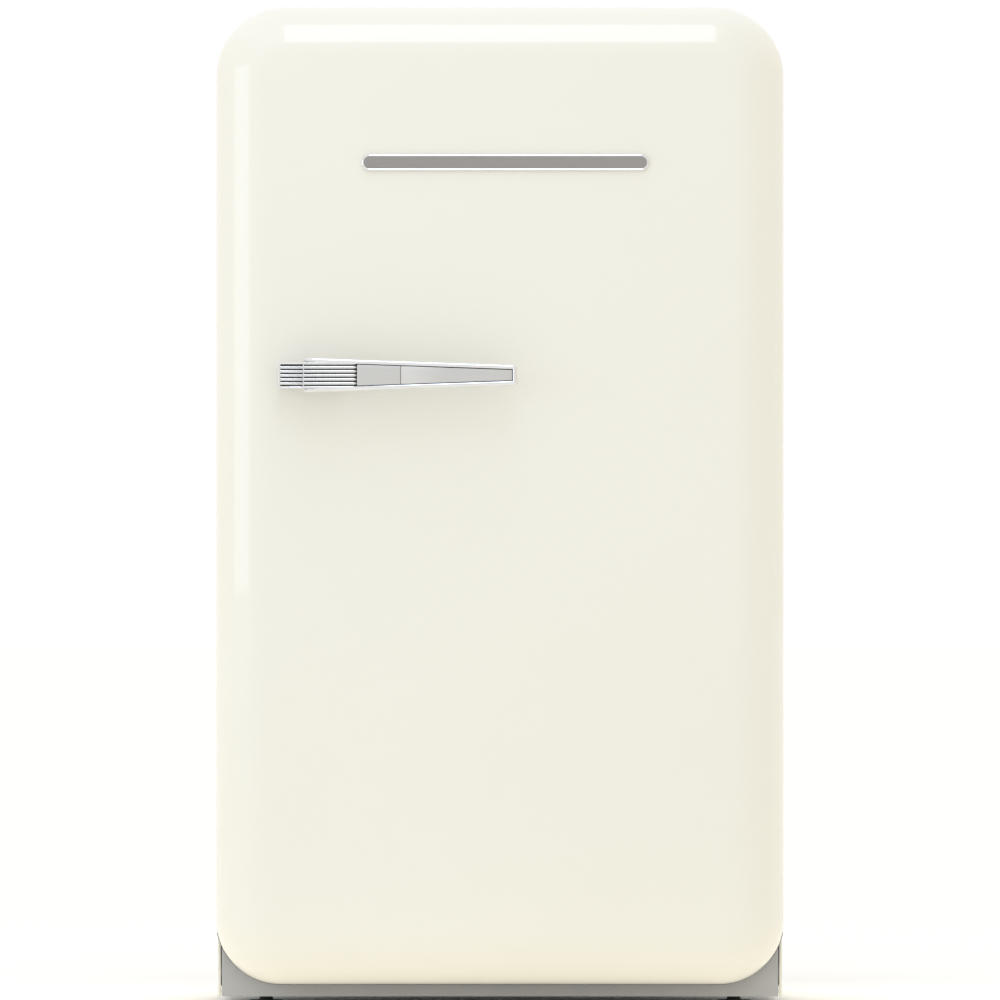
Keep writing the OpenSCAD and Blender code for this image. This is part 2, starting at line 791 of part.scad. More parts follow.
// Door bin with side hooks that rest on the liner's rim
module door_bin(z0, z1) {
    color(clear) union() {
        tray(-bin_x, bin_x, bin_y0, bin_y1, z0, z1, 2.5);
        both_sides() box(bin_x - 0.5, recess_x, bin_y0 + 8, rim_y - 8, z1 - 24, z1 - 8);
    }
}

module dairy_bin() { door_bin(lid_z - 65, lid_z - 3.5); }
module middle_bin() { door_bin(520, 580); }
module bottle_bin() { door_bin(recess_z0 + 8, 238); }

module dairy_lid() {
    color(clear) union() {
        along_x(4 - bin_x, bin_x - 4) polygon([
            [lid_y - 3, lid_z - 3], [lid_y + 4, lid_z - 3], [bin_y1 + 0.8, lid_z - 3],
            [bin_y1 + 0.8, lid_z - 22], [bin_y1 + 3, lid_z - 22], [bin_y1 + 3, lid_z - 2],
            [bin_y1, lid_z + 1], [lid_y + 4, lid_z + 3], [lid_y - 3, lid_z + 3]]);
        both_sides() bar_x(bin_x - 4.5, recess_x + 2, lid_y, lid_z, pin_r);
    }
}

// Chrome wire that keeps bottles in the lowest bin
module bottle_rail() {
    color([0.85, 0.85, 0.86]) tube(rounded([[3 - recess_x, -170, 300], [3 - recess_x, bin_y1, 300],
        [recess_x - 3, bin_y1, 300], [recess_x - 3, -170, 300]], 14), [0, 0, 1], 3);
}

cabinet_shell();
back_panel();
base_plate();
rear_lip();
foot_nuts();
bay_panel();
insulation_foam();
inner_liner();
shelf_rails();
front_frame();
plinth();
cabinet_hinge_leaves();
hinge_pins();
hinge_screws();
glass_shelves();
shelf_trims();
ice_box();
ice_flap_frame();
lamp_housing();
lamp_bulb();
lamp_lens();
drain_tube();
drip_tray();
compressor();
compressor_bracket();
compressor_grommets();
compressor_bolts();
relay_cover();
refrigerant_lines();
filter_drier();
condenser_coil();
condenser_wires();
condenser_brackets();
wall_spacers();
cord_gland();
roller_brackets();
roller_axles();
rear_roller_left();
rear_roller_right();
front_foot_left();
front_foot_right();
crisper_drawer();
ice_flap();
thermostat_knob();
switch_plunger();
door_skin();
door_foam();
door_liner();
bin_recess();
door_gasket();
door_hinge_leaves();
handle_base();
handle_lever();
handle_panel();
badge();
dairy_bin();
dairy_lid();
middle_bin();
bottle_bin();
bottle_rail();
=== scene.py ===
import json
import math

import bmesh
import bpy
import numpy as np
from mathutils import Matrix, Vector


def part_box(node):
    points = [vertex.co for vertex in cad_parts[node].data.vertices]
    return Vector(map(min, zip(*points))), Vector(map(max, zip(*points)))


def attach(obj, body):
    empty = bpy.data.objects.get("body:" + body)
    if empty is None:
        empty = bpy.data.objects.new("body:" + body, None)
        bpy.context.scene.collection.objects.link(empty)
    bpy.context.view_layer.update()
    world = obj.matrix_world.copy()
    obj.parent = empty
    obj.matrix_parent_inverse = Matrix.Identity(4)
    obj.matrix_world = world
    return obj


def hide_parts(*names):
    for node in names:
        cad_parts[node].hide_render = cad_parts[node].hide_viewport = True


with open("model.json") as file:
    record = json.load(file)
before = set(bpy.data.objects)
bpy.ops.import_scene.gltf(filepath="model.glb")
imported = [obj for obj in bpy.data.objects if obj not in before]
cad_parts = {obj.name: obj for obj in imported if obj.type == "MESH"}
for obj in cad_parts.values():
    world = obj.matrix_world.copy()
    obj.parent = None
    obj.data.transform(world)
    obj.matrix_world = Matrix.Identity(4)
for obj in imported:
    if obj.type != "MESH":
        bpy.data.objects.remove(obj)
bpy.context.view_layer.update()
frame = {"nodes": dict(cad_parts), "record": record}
mm = 0.001
print("frame loaded with", len(frame["nodes"]), "nodes")


# ---- shapes: each is (points, faces), worked out as whole arrays ----

def spans(node):  # x0, x1, y0, y1, z0, z1 of a CAD node
    low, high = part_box(node)
    return low.x, high.x, low.y, high.y, low.z, high.z


def roundRing(x0, x1, z0, z1, upper, lower, arc=8, side=1):
    # corners are centre + r (cos, sin), counter-clockwise from the upper right; sides in equal steps
    centres = np.array([[x1 - upper, z1 - upper], [x0 + upper, z1 - upper],
                        [x0 + lower, z0 + lower], [x1 - lower, z0 + lower]])
    radii = np.array([upper, upper, lower, lower])[:, None, None]
    turn = np.radians(90 * np.arange(4)[:, None] + np.linspace(0, 90, arc + 1))
    corners = centres[:, None] + radii * np.stack([np.cos(turn), np.sin(turn)], -1)
    part = np.linspace(0, 1, side + 1)[1:-1, None]
    follow = np.roll(corners[:, 0], -1, axis=0)[:, None]
    sides = corners[:, -1][:, None] * (1 - part) + follow * part
    return np.concatenate([corners, sides], 1).reshape(-1, 2)


def place(ring, level, facing):  # a flat ring into space: front looks along Y, top along Z, side along X
    flat = np.broadcast_to(level, ring.shape[:1])
    order = {"front": (ring[:, 0], flat, ring[:, 1]), "top": (ring[:, 0], ring[:, 1], flat),
             "side": (flat, ring[:, 0], ring[:, 1])}[facing]
    return np.stack(order, -1)


def stack(rings, closed=False, caps=True):
    # quads between rings i and i + 1; the ends are closed by one face each, or joined in a loop
    rings = np.asarray(rings, float)
    count, size = rings.shape[:2]
    i, j = np.meshgrid(np.arange(count if closed else count - 1), np.arange(size), indexing="ij")
    a, b = i * size + j, i * size + (j + 1) % size
    up = (i + 1) % count * size
    quads = np.stack([a, b, up + (j + 1) % size, up + j], -1).reshape(-1, 4).tolist()
    if caps and not closed:
        quads += [list(range(size))[::-1], list(range((count - 1) * size, count * size))]
    return rings.reshape(-1, 3), quads


def outlines(area, profile, radii, facing="front", arc=8, side=1):
    # a rounded outline at each (inset, level) of the profile, moved in by inset; its corners stay concentric
    a0, a1, b0, b1 = area
    return [place(roundRing(a0 + inset, a1 - inset, b0 + inset, b1 - inset,
                            max(radii[0] - inset, 0.2 * mm), max(radii[1] - inset, 0.2 * mm), arc, side),
                  level, facing) for inset, level in profile]


def layered(area, profile, radii, facing="front", arc=8, side=1, closed=False):
    return stack(outlines(area, profile, radii, facing, arc, side), closed)


def fromLevel(level, *pairs):  # (inset or radius, height above level) in millimetres, as a profile in metres
    return [(inset * mm, level + height * mm) for inset, height in pairs]


def arcPoints(centre, radius, start, end, steps=6):
    # centre + r (cos, sin), with the angles in degrees
    turn = np.radians(np.linspace(start, end, steps + 1))
    return np.stack([centre[0] + radius * np.cos(turn), centre[1] + radius * np.sin(turn)], -1)


def softBox(x0, x1, y0, y1, z0, z1, r=2 * mm, facing="top", steps=4, corner=None):
    # a box whose edges are all quarter rounds of radius r
    area, low, high = {"top": ((x0, x1, y0, y1), z0, z1), "front": ((x0, x1, z0, z1), y0, y1),
                       "side": ((y0, y1, z0, z1), x0, x1)}[facing]
    bottom = arcPoints((r, low + r), r, 270, 180, steps)
    top = arcPoints((r, high - r), r, 180, 90, steps)
    return layered(area, np.concatenate([bottom, top]), (corner or r, corner or r), facing, steps)


def lathe(profile, centre, axis="z", steps=40):
    # (radius, height) pairs turned round an axis through centre; height runs along the axis
    radius, height = np.asarray(profile, float).T
    turn = np.linspace(0, 2 * math.pi, steps, endpoint=False)
    ringX = radius[:, None] * np.cos(turn)
    ringY = radius[:, None] * np.sin(turn)
    level = np.broadcast_to(height[:, None], ringX.shape)
    order = {"z": (ringX, ringY, level), "x": (level, ringX, ringY), "y": (ringY, level, ringX)}[axis]
    return stack(np.stack(order, -1) + np.asarray(centre))


def smoothPath(points, r, steps=6):
    # each corner becomes an arc of radius r that touches both legs: its centre plus a blend of the end radii
    points = np.asarray(points, float)
    out = [points[:1]]
    for before, here, after in zip(points, points[1:], points[2:]):
        a = (before - here) / np.linalg.norm(before - here)
        b = (after - here) / np.linalg.norm(after - here)
        half = math.acos(np.clip(a @ b, -1, 1)) / 2
        centre = here + (a + b) / np.linalg.norm(a + b) * r / math.sin(half)
        start = here + a * r / math.tan(half) - centre
        end = here + b * r / math.tan(half) - centre
        sweep = math.pi - 2 * half
        part = np.linspace(0, 1, steps + 1)[:, None]
        blend = start * np.sin(sweep * (1 - part)) + end * np.sin(sweep * part)
        out.append(centre + blend / math.sin(sweep))
    return np.concatenate(out + [points[-1:]])


def tube(path, radius, steps=12, up=(1, 1.2, 0.9), closed=False):
    # circles square to the path: c + r (cos u + sin v), u across a fixed direction that the path never takes
    path = np.asarray(path, float)
    ahead = np.roll(path, -1, 0) - np.roll(path, 1, 0) if closed else np.gradient(path, axis=0)
    ahead /= np.linalg.norm(ahead, axis=1, keepdims=True)
    u = np.cross(np.asarray(up, float), ahead)
    u /= np.linalg.norm(u, axis=1, keepdims=True)
    v = np.cross(ahead, u)
    turn = np.linspace(0, 2 * math.pi, steps, endpoint=False)[None, :, None]
    return stack(path[:, None] + radius * (np.cos(turn) * u[:, None] + np.sin(turn) * v[:, None]), closed)


def extrudeX(profile, x0, x1, r=0.6 * mm):
    # a closed (y, z) outline carried along X, with slightly drawn-in ends
    profile = np.asarray(profile, float)
    centre = profile.mean(0)
    shrink = 1 - r / np.abs(profile - centre).max()
    ends = centre + (profile - centre) * shrink
    return stack([place(ends, x0, "side"), place(profile, x0 + r, "side"), place(profile, x1 - r, "side"),
                  place(ends, x1, "side")])


def reliefPlate(across, rows, half, centreZ, front, thick):
    # a grid of x (across) and t in -1..1 (rows): z = centre + t half(x), y = front(x, t), back thick behind
    x, t = np.meshgrid(across, rows, indexing="ij")
    z = centreZ + t * half(x)
    y = front(x, t)
    sides = [np.stack([x, level, z], -1).reshape(-1, 3) for level in (y, y + thick)]
    nx, nt = x.shape
    index = np.arange(nx * nt).reshape(nx, nt)
    quads = np.stack([index[:-1, :-1], index[1:, :-1], index[1:, 1:], index[:-1, 1:]], -1).reshape(-1, 4)
    rim = np.concatenate([index[:, 0], index[-1, 1:], index[-2::-1, -1], index[0, -2:0:-1]])
    walls = np.stack([rim, rim + nx * nt, np.roll(rim, -1) + nx * nt, np.roll(rim, -1)], -1)
    return np.concatenate(sides), quads.tolist() + (quads[:, ::-1] + nx * nt).tolist() + walls.tolist()


def join(*shapes):
    points, faces, start = [], [], 0
    for shapePoints, shapeFaces in shapes:
        points.append(shapePoints)
        faces += [[start + k for k in face] for face in shapeFaces]
        start += len(shapePoints)
    return np.concatenate(points), faces


def mirrored(shape):  # the shape and its mirror image across the mid plane
    return join(shape, (shape[0] * [-1, 1, 1], shape[1]))


def addPiece(name, shape, body, slotName, replaced=(), sharp=40, finish=None):
    # slotName is the slot in the record; finish is given only where the look is not that slot's own
    points, faces = shape
    mesh = bpy.data.meshes.new(name)
    mesh.from_pydata(points.tolist(), [], faces)
    work = bmesh.new()
    work.from_mesh(mesh)
    bmesh.ops.remove_doubles(work, verts=work.verts, dist=0.01 * mm)
    bmesh.ops.recalc_face_normals(work, faces=work.faces)
    work.to_mesh(mesh)
    work.free()
    mesh.polygons.foreach_set("use_smooth", np.ones(len(mesh.polygons), bool))
    mesh.set_sharp_from_angle(angle=math.radians(sharp))
    mesh.materials.append(finishes[finish or slotName])
    piece = bpy.data.objects.new(name, mesh)
    bpy.context.scene.collection.objects.link(piece)
    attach(piece, body)
    if replaced:
        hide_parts(*replaced)
    return piece


def thicken(piece, thick, offset=-1):  # gives an open sheet its wall
    wall = piece.modifiers.new("wall", "SOLIDIFY")
    wall.thickness, wall.offset = thick, offset
    wall.use_even_offset = True


# ---- finishes ----

class Wire:  # a socket that can be used in sums
    def __init__(self, finish, socket):
        self.finish, self.socket = finish, socket

    def maths(self, operation, *values):
        return self.finish.add("ShaderNodeMath", {"operation": operation}, dict(enumerate(values)))

    def __add__(self, other):
        return self.maths("ADD", self, other)

    def __radd__(self, other):
        return self.maths("ADD", other, self)

    def __sub__(self, other):
        return self.maths("SUBTRACT", self, other)

    def __rsub__(self, other):
        return self.maths("SUBTRACT", other, self)

    def __mul__(self, other):
        return self.maths("MULTIPLY", self, other)

    def __rmul__(self, other):
        return self.maths("MULTIPLY", other, self)


class Finish:  # one material; keyword values go straight onto the shader's sockets
    @classmethod
    def around(cls, tree):  # the same helpers on the world's node tree
        self = cls.__new__(cls)
        self.tree = tree
        self.place = self.add("ShaderNodeTexCoord", out="Generated")
        return self

    def __init__(self, name, **values):
        self.material = bpy.data.materials.new(name)
        self.material.use_nodes = True
        self.tree = self.material.node_tree
        self.shader = self.tree.nodes["Principled BSDF"]
        self.place = self.add("ShaderNodeTexCoord", out="Object")
        for key, value in values.items():
            self.set(key.replace("_", " ").title().replace("Ior", "IOR"), value)

    def add(self, kind, settings=None, sockets=None, out=0):
        node = self.tree.nodes.new(kind)
        for key, value in (settings or {}).items():
            setattr(node, key, value)
        for key, value in (sockets or {}).items():
            if isinstance(value, Wire):
                self.tree.links.new(value.socket, node.inputs[key])
            else:
                node.inputs[key].default_value = value
        return Wire(self, node.outputs[out])

    def set(self, key, value):
        if isinstance(value, Wire):
            self.tree.links.new(value.socket, self.shader.inputs[key])
        elif key == "Base Color" or key.endswith("Color"):
            self.shader.inputs[key].default_value = (*value, 1)
        else:
            self.shader.inputs[key].default_value = value

    def axis(self, letter):
        return self.add("ShaderNodeSeparateXYZ", None, {"Vector": self.place}, letter)

    def stretched(self, scale):  # object coordinates scaled differently along each axis
        return self.add("ShaderNodeMapping", None, {"Vector": self.place, "Scale": scale})

    def noise(self, scale, detail=2.0, rough=0.5, vector=None):
        return self.add("ShaderNodeTexNoise", None, {"Vector": vector or self.place, "Scale": scale,
                                                     "Detail": detail, "Roughness": rough})

    def cells(self, scale, out="Distance", feature="F1"):
        sockets = {"Vector": self.place, "Scale": scale}
        return self.add("ShaderNodeTexVoronoi", {"feature": feature}, sockets, out)

    def between(self, factor, low, high):  # values from low to high as factor goes from 0.3 to 0.7
        return self.add("ShaderNodeMapRange", None, {"Value": factor, "From Min": 0.3, "From Max": 0.7,
                                                     "To Min": low, "To Max": high})

    def ease(self, value, start, end):  # 0 to 1 in a smooth step as value goes from start to end
        return self.add("ShaderNodeMapRange", {"interpolation_type": "SMOOTHSTEP"},
                        {"Value": value, "From Min": start, "From Max": end})

    def mixed(self, factor, first, second):
        colours = {0: factor, 6: (*first, 1), 7: (*second, 1)}
        return self.add("ShaderNodeMix", {"data_type": "RGBA"}, colours, 2)

    def bump(self, height, distance, strength=1.0):
        self.set("Normal", self.add("ShaderNodeBump", None, {"Height": height, "Distance": distance,
                                                             "Strength": strength}))


def creamEnamel():
    tone = {"light": (0.884, 0.868, 0.782), "deep": (0.875, 0.858, 0.768),
            "peel": 420, "peelHeight": 0.012 * mm}
    f = Finish("creamEnamel", roughness=0.38, coat_weight=1.0, coat_roughness=0.03, specular_ior_level=0.4)
    f.set("Base Color", f.mixed(f.between(f.noise(3.5), 0, 1), tone["light"], tone["deep"]))
    f.set("Coat Weight", f.between(f.noise(9, 4), 0.92, 1.0))
    f.bump(f.noise(tone["peel"], 1.5), tone["peelHeight"])
    return f.material


def chromePlate():
    f = Finish("chromePlate", metallic=1.0, specular_ior_level=0.5)
    f.set("Base Color", f.mixed(f.between(f.noise(30), 0, 1), (0.86, 0.86, 0.865), (0.80, 0.80, 0.81)))
    f.set("Roughness", f.between(f.noise(160, 4, 0.6), 0.03, 0.08))
    return f.material


def badgeSatin():
    f = Finish("badgeSatin", metallic=1.0)
    grain = f.noise(1, 3, 0.6, f.stretched((60, 400, 2600)))
    f.set("Base Color", f.mixed(grain, (0.33, 0.315, 0.305), (0.40, 0.385, 0.375)))
    f.set("Roughness", f.between(grain, 0.3, 0.42))
    f.bump(grain, 0.02 * mm)
    return f.material


def satinInlay():
    f = Finish("satinInlay", metallic=1.0)
    grain = f.noise(1, 3, 0.6, f.stretched((60, 400, 3200)))
    # a painted highlight: lighter right of the crease, fading out towards the free end, painted into the base
    # colour
    crease, fadeEnd = -0.094, -0.045
    across = f.axis("X")
    paintedSheen = f.add("ShaderNodeMapRange", {"interpolation_type": "SMOOTHERSTEP"},
                  {"Value": across, "From Min": crease, "From Max": fadeEnd, "To Min": 0.42, "To Max": 0.0})
    paintedLit = across.maths("GREATER_THAN", across, crease) * paintedSheen
    # the brushed grain is the steel's own; the painted highlight is added on top of it
    f.set("Base Color", f.mixed(0.65 * grain + paintedLit, (0.58, 0.58, 0.575), (0.80, 0.80, 0.795)))
    f.set("Roughness", f.between(grain, 0.28, 0.42))
    f.bump(grain, 0.02 * mm)
    return f.material


def mouldedPlastic(name, light, deep, rough=0.5, grainHeight=0.04 * mm, **more):
    f = Finish(name, **more)
    f.set("Base Color", f.mixed(f.between(f.noise(14, 3), 0, 1), light, deep))
    f.set("Roughness", f.between(f.noise(40, 3), rough * 0.9, rough * 1.1))
    f.bump(f.noise(1500, 2), grainHeight)
    return f.material


def clearSheet(name, tint, rough, weight, haze, solid):
    # solid is the share of light that meets the sheet at all
    f = Finish(name, transmission_weight=weight, ior=1.49, alpha=solid)
    f.set("Base Color", f.mixed(f.between(f.noise(8, 2), 0, 1), tint, tuple(0.97 * c for c in tint)))
    f.set("Roughness", f.between(f.noise(60, 3), rough, rough + haze))
    return f.material


def spangledSteel(name="spangledSteel", light=(0.62, 0.64, 0.66), deep=(0.44, 0.46, 0.48), scale=90):
    f = Finish(name, metallic=0.9)
    grain = f.cells(scale, "Color")
    flake = f.add("ShaderNodeSeparateColor", None, {"Color": grain})
    f.set("Base Color", f.mixed(flake, deep, light))
    f.set("Roughness", 0.3 + 0.18 * flake + 0.1 * f.noise(25))
    return f.material


def brushedMetal(name, light, deep, rough=0.3):
    f = Finish(name, metallic=1.0)
    grain = f.noise(1, 3, 0.6, f.stretched((900, 900, 80)))
    f.set("Base Color", f.mixed(grain, deep, light))
    f.set("Roughness", f.between(f.noise(45, 3), rough * 0.8, rough * 1.3))
    f.bump(grain, 0.01 * mm)
    return f.material


def blackEnamel():
    f = Finish("blackEnamel", coat_weight=0.3, coat_roughness=0.2)
    dust = f.between(f.noise(18, 4, 0.6), 0, 1)
    f.set("Base Color", f.mixed(dust, (0.016, 0.016, 0.018), (0.034, 0.033, 0.032)))
    f.set("Roughness", 0.32 + 0.2 * dust)
    f.bump(f.noise(500, 2), 0.02 * mm)
    return f.material


def softRubber(name, light, deep):
    f = Finish(name, roughness=0.72, specular_ior_level=0.3)
    f.set("Base Color", f.mixed(f.between(f.noise(22, 4), 0, 1), deep, light))
    f.bump(f.noise(900, 3), 0.03 * mm)
    return f.material


def drawnCopper():
    f = Finish("drawnCopper", metallic=1.0)
    oxide = f.between(f.noise(26, 5, 0.6), 0, 1)
    f.set("Base Color", f.mixed(oxide, (0.80, 0.42, 0.27), (0.42, 0.20, 0.12)))
    f.set("Roughness", 0.24 + 0.26 * oxide)
    return f.material


def cellFoam():
    f = Finish("cellFoam", roughness=0.9)
    cell = f.cells(600)
    f.set("Base Color", f.mixed(cell, (0.90, 0.80, 0.52), (0.78, 0.66, 0.38)))
    f.bump(cell, 0.3 * mm)
    return f.material


def rolledAluminium():
    f = Finish("rolledAluminium", metallic=1.0)
    frost = f.between(f.noise(20, 5, 0.65), 0, 1)
    f.set("Base Color", f.mixed(frost, (0.80, 0.82, 0.84), (0.90, 0.92, 0.94)))
    f.set("Roughness", 0.3 + 0.25 * frost)
    f.bump(f.noise(1, 2, 0.5, f.stretched((900, 60, 900))), 0.02 * mm)
    return f.material


finishes = {
    "cream_paint": creamEnamel(),
    "chrome": chromePlate(),
    "satin_steel": satinInlay(),
    "grey_plastic": mouldedPlastic("greyPlastic", (0.50, 0.505, 0.51), (0.47, 0.475, 0.48), 0.5),
    "white_plastic": mouldedPlastic("whitePlastic", (0.86, 0.865, 0.86), (0.83, 0.835, 0.83), 0.3,
                                    0.015 * mm),
    "black_plastic": mouldedPlastic("blackPlastic", (0.030, 0.030, 0.031), (0.018, 0.018, 0.019), 0.5),
    "clear_plastic": clearSheet("clearPlastic", (0.93, 0.96, 0.965), 0.03, 0.92, 0.04, 0.5),
    "ice_plastic": clearSheet("icePlastic", (0.86, 0.93, 0.95), 0.28, 0.75, 0.12, 0.85),
    "shelf_glass": clearSheet("shelfGlass", (0.90, 0.965, 0.945), 0.01, 0.96, 0.02, 0.5),
    "lamp_glass": clearSheet("lampGlass", (0.98, 0.95, 0.88), 0.35, 0.6, 0.1, 1.0),
    "grey_paint": mouldedPlastic("greyPaint", (0.42, 0.425, 0.43), (0.39, 0.395, 0.40), 0.36, 0.02 * mm,
                                 coat_weight=0.4),
    "zinc_steel": spangledSteel(),
    "aluminium": rolledAluminium(),
    "copper": drawnCopper(),
    "black_paint": blackEnamel(),
    "black_rubber": softRubber("blackRubber", (0.035, 0.035, 0.035), (0.018, 0.018, 0.018)),
    "gasket_rubber": softRubber("gasketRubber", (0.66, 0.66, 0.64), (0.60, 0.60, 0.58)),
    "foam": cellFoam(),
    "badgeSatin": badgeSatin(),
    "ribMetal": brushedMetal("ribMetal", (0.80, 0.80, 0.79), (0.70, 0.70, 0.69), 0.16),
    "bolt_steel": brushedMetal("boltSteel", (0.72, 0.72, 0.70), (0.56, 0.56, 0.54)),
}
for entry in frame["record"]["subparts"]:  # every carried-over node gets the finish of its own slot
    node = frame["nodes"][entry["node"]]
    node.data.materials.clear()
    node.data.materials.append(finishes[entry["material_slot"]])
for name in ("hinge_pins", "hinge_screws", "compressor_bolts", "roller_axles", "cabinet_hinge_leaves",
             "door_hinge_leaves"):
    frame["nodes"][name].data.materials[0] = finishes["bolt_steel"]
print("finishes made:", len(finishes))


# ---- door ----

doorSkin = {"cornerUp": 67 * mm, "cornerLow": 62 * mm, "edge": 50 * mm, "hem": 13 * mm, "hemRound": 3 * mm,
            "crown": 0.85 * mm, "sheet": 0.5 * mm}
dx0, dx1, dy0, dy1, dz0, dz1 = spans("door_skin")


def doorFace(x, z, y):
    # adds a slight crown: 0 at the middle of the face, full at its edges, none at the back
    u, v = x / dx1, (z - (dz0 + dz1) / 2) / ((dz1 - dz0) / 2)
    return y + doorSkin["crown"] * (1 - (1 - u * u) * (1 - v * v)) * (dy1 - y) / (dy1 - dy0)


def makeDoorSkin():
    # the outline goes inwards along hem, hem round, straight side and quarter round, then flat to the middle
    d = doorSkin
    side = [(d["hem"], dy1)]
    side += arcPoints((d["hemRound"], dy1 - d["hemRound"]), d["hemRound"], 90, 180).tolist()
    side += arcPoints((d["edge"], dy0 + d["edge"]), d["edge"], 180, 270, 24).tolist()
    rings = outlines((dx0, dx1, dz0, dz1), side, (d["cornerUp"], d["cornerLow"]), "front", 20, 12)
    rim = rings[-1]
    middle = np.array([0, dy0, (dz0 + dz1) / 2])
    rings += [middle + (rim - middle) * [k, 1, k] for k in (0.93, 0.8, 0.6, 0.4, 0.2, 0.06)]
    points, faces = stack(rings, caps=False)
    size = len(rim)
    faces.append(list(range(len(points) - size, len(points))))
    points[:, 1] = doorFace(points[:, 0], points[:, 2], points[:, 1])
    points[:, 1] = np.maximum(points[:, 1], dy0)
    skin = addPiece("doorSkin", (points, faces), "door", "cream_paint", ["door_skin"], 60)
    thicken(skin, d["sheet"])


doorLiner = {"inset": 2.6 * mm, "back": dy1 - 1.4 * mm, "wall": 2 * mm, "rimX": 215 * mm, "rimLow": 133 * mm,
             "rimHigh": 905 * mm, "wide": 17 * mm, "base": -222 * mm, "round": 7 * mm, "corner": 22 * mm,
             "fillet": 6 * mm, "floorRound": 10 * mm}


def rimRows(gap):
    # the raised rim and its recess, set back by gap: arcs of (inset, y), each with its corner radius
    p = doorLiner
    top = spans("door_liner")[3] - p["round"]
    outer = [(i, p["corner"] - i, y) for i, y in arcPoints((p["round"], top), p["round"] - gap, 180, 90, 5)]
    inner = [(i, 15 * mm, y) for i, y in arcPoints((p["wide"] - p["round"], top), p["round"] - gap, 90, 0, 5)]
    bend = p["floorRound"]
    floor = [(i, max(14 * mm - (i - p["wide"]), 3 * mm), y) for i, y in
             arcPoints((p["wide"] + bend, p["base"] + bend), bend + gap, 180, 270, 5)]
    return [(p["rimX"] - i, p["rimLow"] + i, p["rimHigh"] - i, r, r, y) for i, r, y in outer + inner + floor]


def closedRows(rows):  # rings of (half width, low, high, upper radius, lower radius, y), the last one filled
    rings = [place(roundRing(-x, x, z0, z1, up, low, 8, 4), y, "front") for x, z0, z1, up, low, y in rows]
    points, faces = stack(rings, caps=False)
    return points, faces + [list(range(len(points) - len(rings[0]), len(points)))]


def makeDoorLiner():
    # from the plate's edge over a fillet, up the raised rim, over its round top and down into the recess
    p = doorLiner
    rows = [(dx1 - p["inset"], dz0 + p["inset"], dz1 - p["inset"], 64 * mm, 59 * mm, p["back"])]
    for out, y in arcPoints((p["fillet"], p["back"] + p["fillet"]), p["fillet"], 270, 180, 4):
        corner = p["corner"] + out
        rows.append((p["rimX"] + out, p["rimLow"] - out, p["rimHigh"] + out, corner, corner, y))
    liner = addPiece("doorLiner", closedRows(rows + rimRows(0)), "door", "white_plastic",
                     ["door_liner", "bin_recess"])
    if liner.data.polygons[-1].normal.y < 0:
        liner.data.flip_normals()
    thicken(liner, p["wall"])


def makeDoorFoam():
    # from the middle of the face over the quarter round to the back, then up inside the rim
    p, d = doorLiner, doorSkin
    skinGap, linerGap = 1.7 * mm, 2.4 * mm
    rear, corner = p["back"] - linerGap, p["corner"] - linerGap
    rows = [(dx1 - i, dz0 + i, dz1 - i, d["cornerUp"] - i, d["cornerLow"] - i, y)
            for i, y in arcPoints((d["edge"], dy0 + d["edge"]), d["edge"] - skinGap, 270, 180, 10)]
    rows.append(rows[-1][:5] + (rear,))
    rows.append((p["rimX"] - linerGap, p["rimLow"] + linerGap, p["rimHigh"] - linerGap, corner, corner, rear))
    rows += rimRows(linerGap)
    points, faces = closedRows(rows)
    size = len(points) // len(rows)
    addPiece("doorFoam", (points, faces + [list(range(size))[::-1]]), "door", "foam", ["door_foam"])


def makeGasket():
    x0, x1, y0, y1, z0, z1 = spans("door_gasket")
    fold = fromLevel(y0, (0, 0), (0, 3), (2.4, 4.6), (2.6, 6), (0.4, 7.4))
    fold += fromLevel(y1, (0, -1), (1, 0), (11, 0), (12, -1))
    fold += fromLevel(y0, (11.6, 7.4), (9.6, 6), (9.8, 4.6), (12, 3), (12, 0))
    seal = layered((x0, x1, z0, z1), fold, (30 * mm, 30 * mm), "front", 10, closed=True)
    addPiece("doorGasket", seal, "door", "gasket_rubber", ["door_gasket"], 50)


def makeShadeLine():
    # a thin black rubber strip that follows the lower outline of the skin from one side to the other: a dark
    # piece standing in for the shadow line under the door's edge, painted shade
    seal = {"r": 0.9 * mm, "out": 0.25 * mm, "y": dy1 - 5 * mm}
    corner = doorSkin["cornerLow"]
    left = arcPoints((dx0 + corner, dz0 + corner), corner + seal["out"], 192, 270, 20)
    right = arcPoints((dx1 - corner, dz0 + corner), corner + seal["out"], 270, 348, 20)
    path = place(np.concatenate([left, right]), seal["y"], "front")
    addPiece("doorShadeLine", tube(path, seal["r"], 10, (0, 1, 0)), "door", "black_rubber")


makeDoorSkin()
makeDoorLiner()
makeDoorFoam()
makeGasket()
makeShadeLine()
print("door shell made")


# ---- handle and badge ----

handle = {"crease": -94.2 * mm, "ribEnd": -136 * mm, "ribPitch": 3.82 * mm, "ribWide": 2.75 * mm,
          "ribLow": 595.3 * mm, "lean": 0.03, "curl": 2.6 * mm, "seat": 1.6 * mm, "channel": 0.8 * mm,
          "dip": 1.75 * mm, "dipWide": 4.6 * mm, "dipHalf": 13.4 * mm, "rim": 4.2 * mm, "freeEnd": 19.6 * mm}
hx0, hx1, hy0, hy1, hz0, hz1 = spans("handle_lever")
bx0, bx1, by0, by1, bz0, bz1 = spans("handle_base")
leverZ = (hz0 + hz1) / 2
leverEnd = handle["freeEnd"] / 2


def leverHalf(x):  # half height, falling evenly from the fixed end to the free end
    return (hz1 - hz0) / 2 + (leverEnd - (hz1 - hz0) / 2) * (x - hx0) / (hx1 - hx0)


def leverBend(x):  # the face leans back left of the crease and curls back right of it
    left = np.maximum(handle["crease"] - x, 0) * handle["lean"]
    right = (np.maximum(x - handle["crease"], 0) / (hx1 - handle["crease"])) ** 2 * handle["curl"]
    return left + right


